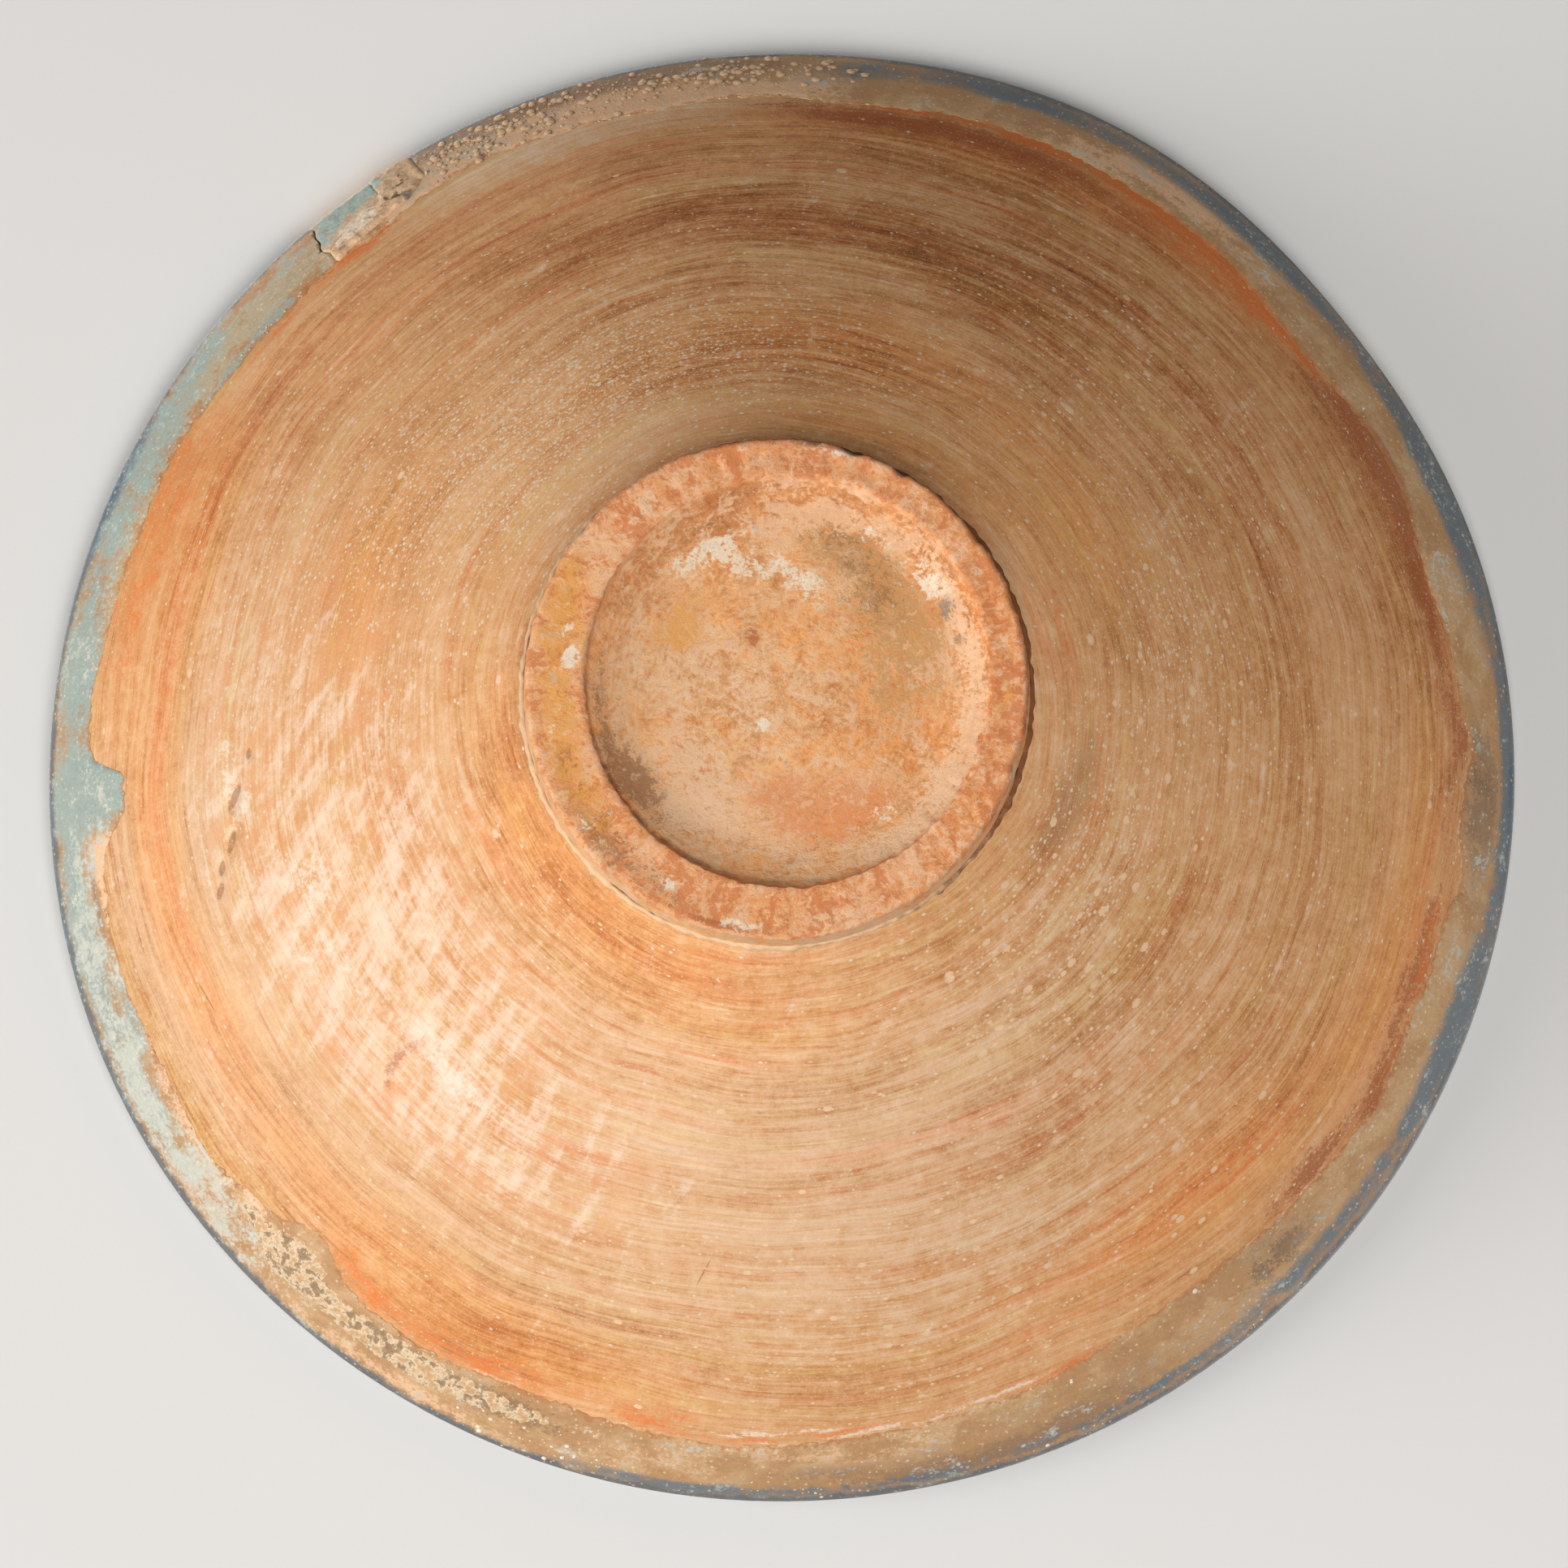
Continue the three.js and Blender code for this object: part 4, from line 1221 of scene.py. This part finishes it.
def hollow_base(points):
    """Gives the base the dish of the recess, which goes on behind the foot ring's slope."""
    base = np.abs(points[:, 2] - base_height) < 0.01 * MM
    distance = distance_from(points, recess_centre)
    tuck = np.clip((distance - dish_seam - tuck_start) / tuck_width, 0, 1) * tuck_depth
    points[:, 2] = np.where(base, dish(distance) + tuck, points[:, 2])
    return points


def press(points, marks):
    """Presses tool marks into the outside of the wall."""
    outer = (inner_share(points) < 0.5) & (points[:, 2] > shoulder[1])
    depth = patches(angle_of(points), distance_from(points) / MM, marks) * outer * MM
    normals = along_wall(wall_normals, down_from_lip(points) * MM)
    points[:, 2] -= depth * normals[:, 1]
    return move_out(points, -depth * normals[:, 0])


def note_foot(piece, face):
    """Notes worn clay, painted light and shade on base and foot. Face is 1 where the ring's face shows."""
    points = points_of(piece)
    angle = angle_of(points)
    height = points[:, 2] / MM
    for name, places in foot_marks.items():
        note(piece, name, patches(angle, distance_from(points) / MM, places))
    distance = distance_from(points, recess_centre)
    note(piece, "face", face * np.clip(1.5 - height / 0.8, 0, 1))
    # Painted light and shade on the recess slope: lighter towards 75 degrees, darker away from it
    on_slope = np.clip((distance / MM - 25) / 4, 0, 1) * np.clip(height - 0.8, 0, 1)
    note(piece, "slope", on_slope * (facing(angle, 75) - 0.3))
    # Painted shade: a dark line along the step at the recess edge towards the lower left, and along the
    # outer edge towards the upper right, on the foot's shadow side
    low_left = np.clip(facing(angle, 140), 0, 1)
    inner_edge_shade = np.exp(-(((distance - recess_radius) / MM + 0.5) / 0.5) ** 2) * low_left
    up_right = np.clip(facing(angle, -45) * 1.3 + 0.3, 0, 1)
    from_edge = (distance_from(points, foot_centre) - foot_radius) / MM
    outer_edge_shade = np.exp(-((from_edge - 0.2) / 0.8) ** 2) * up_right
    note(piece, "crevice_shade", inner_edge_shade + outer_edge_shade * np.clip(1.6 - height, 0, 1))


def make_body(block, foot_paint):
    fine_from, fine_to = np.radians(fine_arc)
    fine = np.linspace(fine_from, fine_to, 120, endpoint=False)
    coarse = np.linspace(fine_to, fine_from + 2 * math.pi, 300, endpoint=False)
    angles = np.concatenate([fine, coarse])
    body = ring_piece("turned_body", spin(all_round(body_profile(), angles), angles), False)
    set_points(body, settle(press(hollow_base(points_of(body)), gouges)))
    cut_notch(body, block)
    points = points_of(body)
    angle = angle_of(points)
    radius = distance_from(points) / MM
    for name, places in wall_marks.items():
        note(body, name, patches(angle, radius, places))
    edge = down_from_lip(points) - lap_at(angle) / MM
    for name in ("flash", "scorch", "ridge_highlight"):
        note(body, name, rim_patches(angle, edge, edge_marks[name]))
    wall = (points[:, 2] > shoulder[1] + 1 * MM) & (inner_share(points) < 0.5)
    bare = wall & (edge > 0.5)
    for name, zones, stray in (("splash", splash_zones, 0.03), ("drops", drop_zones, 0.05)):
        note(body, name, (patches(angle, radius, zones) + stray) * bare)
    note(body, "turned", wall * 1.0)
    note_foot(body, 0.0)
    roughen(body, "turned", clay_material(), depth=0.3, level=0.5, closeness=0.8, turned=1.6)
    body.data.materials.append(foot_paint)
    for face in body.data.polygons:
        low = face.center.z < base_height + 0.8 * MM
        face.material_index = int(low and face.center.xy.length < base_edge + 1.3 * MM)
    return body


def circle(centre, radius, height, angles):
    """One ring of points; radius and height are single values or one for each angle."""
    x = centre[0] + radius * np.cos(angles)
    y = centre[1] + radius * np.sin(angles)
    return np.stack([x, y, np.broadcast_to(height, x.shape)], -1)


def foot_rows(angles):
    """Rings of points down the outside of the foot, over its face and into the recess, and behind it."""
    chips = waves(angles, [7, 13, 23, 41, 67, 97, 139], 8) * foot_edge_waver * MM
    chips += (bumps(angles, foot_flare) - bumps(angles, foot_chips)) * MM
    oval = -recess_oval * np.cos(2 * angles)
    wear = oval + waves(angles, [9, 14, 23, 41, 67, 97], 5) * recess_edge_waver * MM
    uneven = (waves(angles, [5, 8, 19, 37, 61], 11) + 1) * foot_face_waver * MM
    rows = []
    for share in (1.0, 0.66, 0.33):
        radius = foot_radius + (foot_top_radius - foot_radius) * share + chips * 0.4
        height = foot_edge_round + (foot_height - foot_edge_round) * share
        rows.append(circle(foot_centre, radius, height, angles))
    for turn in np.linspace(0, math.pi / 2, 4):
        radius = foot_radius - foot_edge_round * (1 - math.cos(turn)) + chips
        rows.append(circle(foot_centre, radius, foot_edge_round * (1 - math.sin(turn)), angles))
    outer_edge = rows[-1]
    inner_edge = circle(recess_centre, recess_radius + 0.3 * MM + wear, 0.0, angles)
    for share in np.linspace(0.06, 1.0, 12):
        row = outer_edge + (inner_edge - outer_edge) * share
        row[:, 2] = uneven * math.sin(share * math.pi) ** 2
        rows.append(row)
    for inwards in (0.05, 0.3, 0.5):
        radius = recess_radius - inwards * MM
        rows.append(circle(recess_centre, radius + wear, dish(radius), angles))
    slope_top = recess_radius - 0.9 * MM
    for distance in np.linspace(slope_top, dish_seam - 1.0 * MM, 14):
        kept = (distance - dish_seam) / (slope_top - dish_seam)
        behind = np.clip((dish_seam - distance) / MM, -1, 1) * seam_depth
        radius = distance + wear * max(kept, 0) ** 2
        rows.append(circle(recess_centre, radius, dish(distance) + behind, angles))
    tip = dish_seam - 1.4 * MM
    rows.append(circle(recess_centre, tip, dish(tip) + 0.25 * MM, angles))
    rows.append(circle(recess_centre, foot_back, base_height + 0.3 * MM, angles))
    return np.stack(rows)


def make_foot(foot_paint):
    foot = ring_piece("foot_coil", foot_rows(full_turn(520)), True)
    note_foot(foot, 1.0)
    points = points_of(foot)
    on_slope = distance_from(points, recess_centre) < recess_radius - 1.5 * MM
    note(foot, "worn", np.clip(1.2 - points[:, 2] / MM, 0.25, 1) * ~on_slope)
    roughen(foot, "worn", foot_paint, depth=0.5, level=0.7, closeness=0.45)
    foot.data.set_sharp_from_angle(angle=math.radians(38))
    return foot


def make_luting():
    angles = full_turn(520)
    size = np.clip(0.6 + 0.16 * waves(angles, [5, 9, 17, 29, 47, 71, 103], 21), 0.2, 0.9) * MM
    middle = foot_top_radius + (0.2 + 0.12 * waves(angles, [5, 11, 37, 59, 89, 127], 22)) * MM
    rows = []
    for turn in full_turn(10):
        height = foot_height + 0.7 * luting_bed + size * np.sin(turn) * 1.2
        rows.append(circle(foot_centre, middle + size * np.cos(turn), height, angles))
    bead = ring_piece("luting_bead", np.stack(rows), True)
    angle = angle_of(points_of(bead))
    # Painted light and shade: the bead takes its light colour towards the lower left and its dark colour
    # towards the upper right
    note(bead, "tip", 0.5 + 0.6 * facing(angle, 140))
    bead.data.materials.append(speck_material("luting_slip"))
    return bead


def lap_height(from_edge):
    """How far the glaze stands out from the clay, by distance from its edge, where it thins out."""
    feather = np.sin(np.clip(from_edge / edge_feather, 0, 1) * math.pi / 2)
    thinned = thinnest_share + (1 - thinnest_share) * np.clip(from_edge / edge_thinning, 0, 1)
    return 0.3 * layer_gap + (0.7 * layer_gap + glaze_thickness * thinned) * feather


def glaze_profile(angles):
    """Stations of the glaze from the middle of the floor out, over the lip to its edge, and back under."""
    lap = lap_at(angles)
    over = [[[radius, floor_height + coat_inside] for radius in np.linspace(axis_hole, floor_edge, 8)]]
    over.append(inside(np.linspace(wall_end, 0, 28), coat_inside))
    turn = np.linspace(0.95, 0.05, 12)
    over.append(lip(turn, coat_inside + (coat_outside - coat_inside) * (1 - turn)))
    share = np.concatenate([np.linspace(0.0, 0.9, 26), 1 - np.array([0.07, 0.045, 0.025, 0.012, 0.0])])
    down = share[:, None] * lap[None, :]
    edge = outside(down, lap_height(lap[None, :] - down))
    behind = np.linspace(1.0, 0.0, 4)[:, None] * lap[None, :]
    edge_back = outside(behind, np.full(behind.shape, 0.2 * layer_gap))
    depth = coat_inside - glaze_thickness
    under = [lip(np.linspace(0.1, 0.9, 4), np.linspace(layer_gap, depth, 4))]
    under.append(inside(np.linspace(0, wall_end, 6), depth))
    under.append([[floor_edge, floor_height + depth], [axis_hole, floor_height + depth]])
    over, under = (all_round(np.vstack(rows), angles) for rows in (over, under))
    return np.concatenate([over, edge, edge_back, under])


def make_glaze(block):
    angles = full_turn(900)
    glaze = ring_piece("glaze_skin", spin(glaze_profile(angles), angles), False)
    seat(glaze, block)
    points = points_of(glaze)
    angle = angle_of(points)
    down = down_from_lip(points)
    inner = inner_share(points)
    above_edge = lap_at(angle) / MM - down
    for name, places in lap_marks.items():
        note(glaze, name, rim_patches(angle, down, places) * (1 - inner))
    for name in ("flash", "scorch", "crumbs"):
        note(glaze, name, rim_patches(angle, -above_edge, edge_marks[name]) * (1 - inner))
    note(glaze, "down", down)
    note(glaze, "edge", above_edge)
    note(glaze, "inner", inner)
    note(glaze, "lap", (1 - inner) * (0.25 + rim_patches(angle, down, crust_zones)))
    return roughen(glaze, "lap", glaze_material(), depth=0.4, level=0.5, closeness=crust_closeness)


def make_crust():
    """Flaky crust on the lap: a fine sheet whose high places stand out of the glaze."""
    angles = np.radians(np.linspace(*crust_arc, 520))
    lap = lap_at(angles)
    share = np.linspace(*crust_span, 48)
    down = share[:, None] * lap[None, :]
    zone = rim_patches(angles[None, :], down / MM, crust_zones)
    sunk = crust_sunk * (1 - np.clip(zone, 0, 1))
    bed = 0.02 * MM
    sheets = []
    for out in (np.maximum(lap_height(lap[None, :] - down) - sunk, 2 * bed), np.full(down.shape, bed)):
        sheets.append(settle(spin(outside(down, out), angles).reshape(-1, 3)))
    count = share.size, angles.size
    top = np.arange(down.size).reshape(count)
    low = top + down.size
    faces = []
    for sheet in (top, low):
        corners = [sheet[:-1, :-1], sheet[:-1, 1:], sheet[1:, 1:], sheet[1:, :-1]]
        faces += np.stack(corners, -1).reshape(-1, 4).tolist()
    for side in (np.s_[0], np.s_[-1], np.s_[:, 0], np.s_[:, -1]):
        above, below = top[side], low[side]
        faces += np.stack([above[:-1], above[1:], below[1:], below[:-1]], -1).tolist()
    crust = new_piece("glaze_crust", np.vstack(sheets), faces)
    note(crust, "zone", np.concatenate([zone.ravel(), np.zeros(zone.size)]))
    return roughen(crust, "zone", crust_material(), depth=0.8, level=0.38, closeness=crust_closeness)


def make_slip(block):
    over = coat_inside - glaze_thickness - layer_gap * 0.5
    under = 0.5 * layer_gap
    rows = [[[axis_hole, floor_height + over], [floor_edge, floor_height + over]]]
    rows.append(inside(np.linspace(wall_end, 0, 12), over))
    rows.append(lip(np.linspace(0.95, 0.4, 5), np.linspace(over, layer_gap, 5)))
    rows.append(lip(np.linspace(0.4, 0.95, 5), under))
    rows.append(inside(np.linspace(0, wall_end, 12), under))
    rows.append([[floor_edge, floor_height + under], [axis_hole, floor_height + under]])
    angles = full_turn(160)
    slip = ring_piece("slip_skin", spin(all_round(np.vstack(rows), angles), angles), False)
    seat(slip, block)
    slip.data.materials.append(speck_material("white_slip"))
    return slip


def mend_piece(name, node, base, inside_colour, depth, level):
    """A broken piece: the frame's solid, remeshed finely and roughened."""
    piece = add_object(name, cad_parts[node].data.copy())
    edit_mesh(piece.data, lambda work: bmesh.ops.remove_doubles(work, verts=work.verts, dist=0.01 * MM))
    mesher = piece.modifiers.new("fine", "REMESH")
    mesher.mode = "VOXEL"
    mesher.voxel_size = mend_voxel
    bake_modifiers(piece)
    piece.data.materials.clear()
    points = settle(points_of(piece))
    angle = angle_of(points)
    along = np.radians(turn_from(angle, break_angle)) * rim_radius / MM
    down = down_from_lip(points)
    turn = crack_line(down) * np.clip((-along - crack_fade) / crack_fade, 0, 1) * MM / rim_radius
    x, y = points[:, 0].copy(), points[:, 1].copy()
    points[:, 0] = x * np.cos(turn) - y * np.sin(turn)
    points[:, 1] = x * np.sin(turn) + y * np.cos(turn)
    set_points(piece, points)
    for mark, places in mend_marks.items():
        note(piece, mark, rim_patches(angle, down, places))
    note(piece, "inner", inner_share(points))
    note(piece, "rough", np.ones(len(points)))
    return roughen(piece, "rough", mend_material(name, base, inside_colour), depth, level, closeness=0.5)


# Stage

VIEW_TILT = math.radians(7.8)
VIEW_DISTANCE = 1.0455
VIEW_AIM = Vector((0.26, 3.13, 91.53)) * MM
VIEW_LENS = 135
WORLD_LIGHT = 0.15
WORLD_SEEN = 0.6


def make_camera():
    data = bpy.data.cameras.new("main")
    data.lens = VIEW_LENS
    data.clip_end = 20
    camera = add_object("main", data)
    back = Vector((0, math.sin(VIEW_TILT), -math.cos(VIEW_TILT)))
    up = Vector((0, -math.cos(VIEW_TILT), -math.sin(VIEW_TILT)))
    turn = Matrix((up.cross(back), up, back)).transposed().to_4x4()
    camera.matrix_world = Matrix.Translation(VIEW_AIM + back * VIEW_DISTANCE) @ turn
    bpy.context.scene.camera = camera


def one_sided(name, colour):
    """A matt material that shows only from the side that its face looks to."""
    sheet = Paint(name)
    diffuse = sheet.node("ShaderNodeBsdfDiffuse", {"Color": (*colour, 1.0)})
    clear = sheet.node("ShaderNodeBsdfTransparent")
    back = sheet.node("ShaderNodeNewGeometry", output="Backfacing")
    mixed = sheet.node("ShaderNodeMixShader", (back, diffuse, clear))
    sheet.put(sheet.nodes["Material Output"].inputs["Surface"], mixed)
    return sheet.material


def make_sheet(name, height, faces_up, size, shade):
    half = size / 2
    corners = [(x * half, y * half, height) for x, y in ((-1, -1), (1, -1), (1, 1), (-1, 1))]
    mesh = bpy.data.meshes.new(name)
    mesh.from_pydata(corners, [], [[0, 1, 2, 3] if faces_up else [3, 2, 1, 0]])
    sheet = add_object(name, mesh)
    mesh.materials.append(one_sided(name, (shade, 0.985 * shade, 0.96 * shade)))
    sheet.visible_shadow = False
    sheet.visible_diffuse = False


def make_lamp(name, direction, distance, size, power):
    data = bpy.data.lights.new(name, "AREA")
    data.size = size
    data.energy = power
    lamp = add_object(name, data)
    place = Vector(direction).normalized()
    lamp.location = place * distance + Vector((0, 0, bowl_height / 2))
    lamp.rotation_euler = place.to_track_quat("Z", "Y").to_euler()
    lamp.visible_camera = False


def from_below(tilt, around):
    """A direction tilted from straight down, towards an angle round the axis, both in degrees."""
    tilt, around = math.radians(tilt), math.radians(around)
    return math.sin(tilt) * math.cos(around), math.sin(tilt) * math.sin(around), -math.cos(tilt)


def make_world():
    world = bpy.data.worlds.new("studio")
    bpy.context.scene.world = world
    world.use_nodes = True
    tree = Tree(world.node_tree)
    seen = tree.node("ShaderNodeLightPath", output="Is Camera Ray")
    light = world.node_tree.nodes["Background"].inputs
    tree.put(light["Color"], (1.0, 0.98, 0.95, 1.0))
    tree.put(light["Strength"], seen * WORLD_SEEN + WORLD_LIGHT)


def make_stage():
    make_camera()
    make_sheet("floor", height=-0.05 * MM, faces_up=True, size=4.0, shade=0.6)
    make_sheet("backdrop", height=bowl_height + 0.3 * MM, faces_up=False, size=3.0, shade=0.74)
    for name, direction, distance, size, power in (
        ("side_key", from_below(70, 168), 2.0, 1.3, 33.0),
        ("low_key", from_below(29, 73), 2.0, 1.3, 30.0),
        ("top_key", (-0.5, -0.65, 1.2), 2.3, 1.5, 62.0),
        ("top_fill", (0.8, 0.4, 1.0), 2.4, 1.6, 32.0),
    ):
        make_lamp(name, direction, distance, size, power)
    make_world()
    bpy.context.scene.view_settings.view_transform = "Standard"


def place_pieces():
    foot_paint = foot_material()
    block = notch_block()
    body = make_body(block, foot_paint)
    glaze = make_glaze(block)
    mounds = []
    for name, surface, attribute, density, sizes, shape, rings, seed, finish in (
        ("slip_splashes", body, "splash", 2.4, (0.18, 0.7), (1.3, 0.08, 4), 2, 4, "splash"),
        ("slip_drops", body, "drops", 0.05, (0.5, 1.8), (1.4, 0.04, 5), 3, 5, "drop"),
        ("glaze_blisters", glaze, "blister", 1.0, (0.4, 2.2), (1.0, 0.36, 3), 4, 7, "blister"),
        ("glaze_chips", glaze, "chip", 0.8, (0.3, 1.4), (1.1, 0.3, 4), 3, 9, "chip"),
        ("edge_crumbs", glaze, "crumbs", 1.1, (0.2, 0.8), (1.2, 0.35, 3), 3, 11, "crumb"),
    ):
        paint = speck_material(finish)
        mounds.append(scatter(name, surface, attribute, density, sizes, shape, rings, seed, paint))
    splashes, drops, blisters, chips, crumbs = mounds
    made = [
        (body, "thrown_body", "bare_clay"),
        (make_foot(foot_paint), "foot_ring", "foot_clay"),
        (make_luting(), "foot_luting_slip", "luting_slip"),
        (make_slip(block), "slip_coat", "white_slip"),
        (glaze, "glaze_coat", "turquoise_glaze"),
        (mend_piece("sherd", "rim_sherd", SHERD_BUFF, SHERD_POOL, 0.6, 0.3), "rim_sherd", "sherd_glaze"),
        (mend_piece("filler", "mend_fill", FILL_BUFF, FILL_BUFF, 1.0, 0.15), "mend_fill", "mend_filler"),
        (make_crust(), None, "turquoise_glaze"),
        (splashes, None, "white_slip"),
        (drops, None, "white_slip"),
        (blisters, None, "turquoise_glaze"),
        (chips, None, "white_slip"),
        (crumbs, None, "turquoise_glaze"),
    ]
    bpy.data.objects.remove(block)
    for piece, node, slot in made:
        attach(piece, "root")
        if node:
            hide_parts(node)


place_pieces()
make_stage()
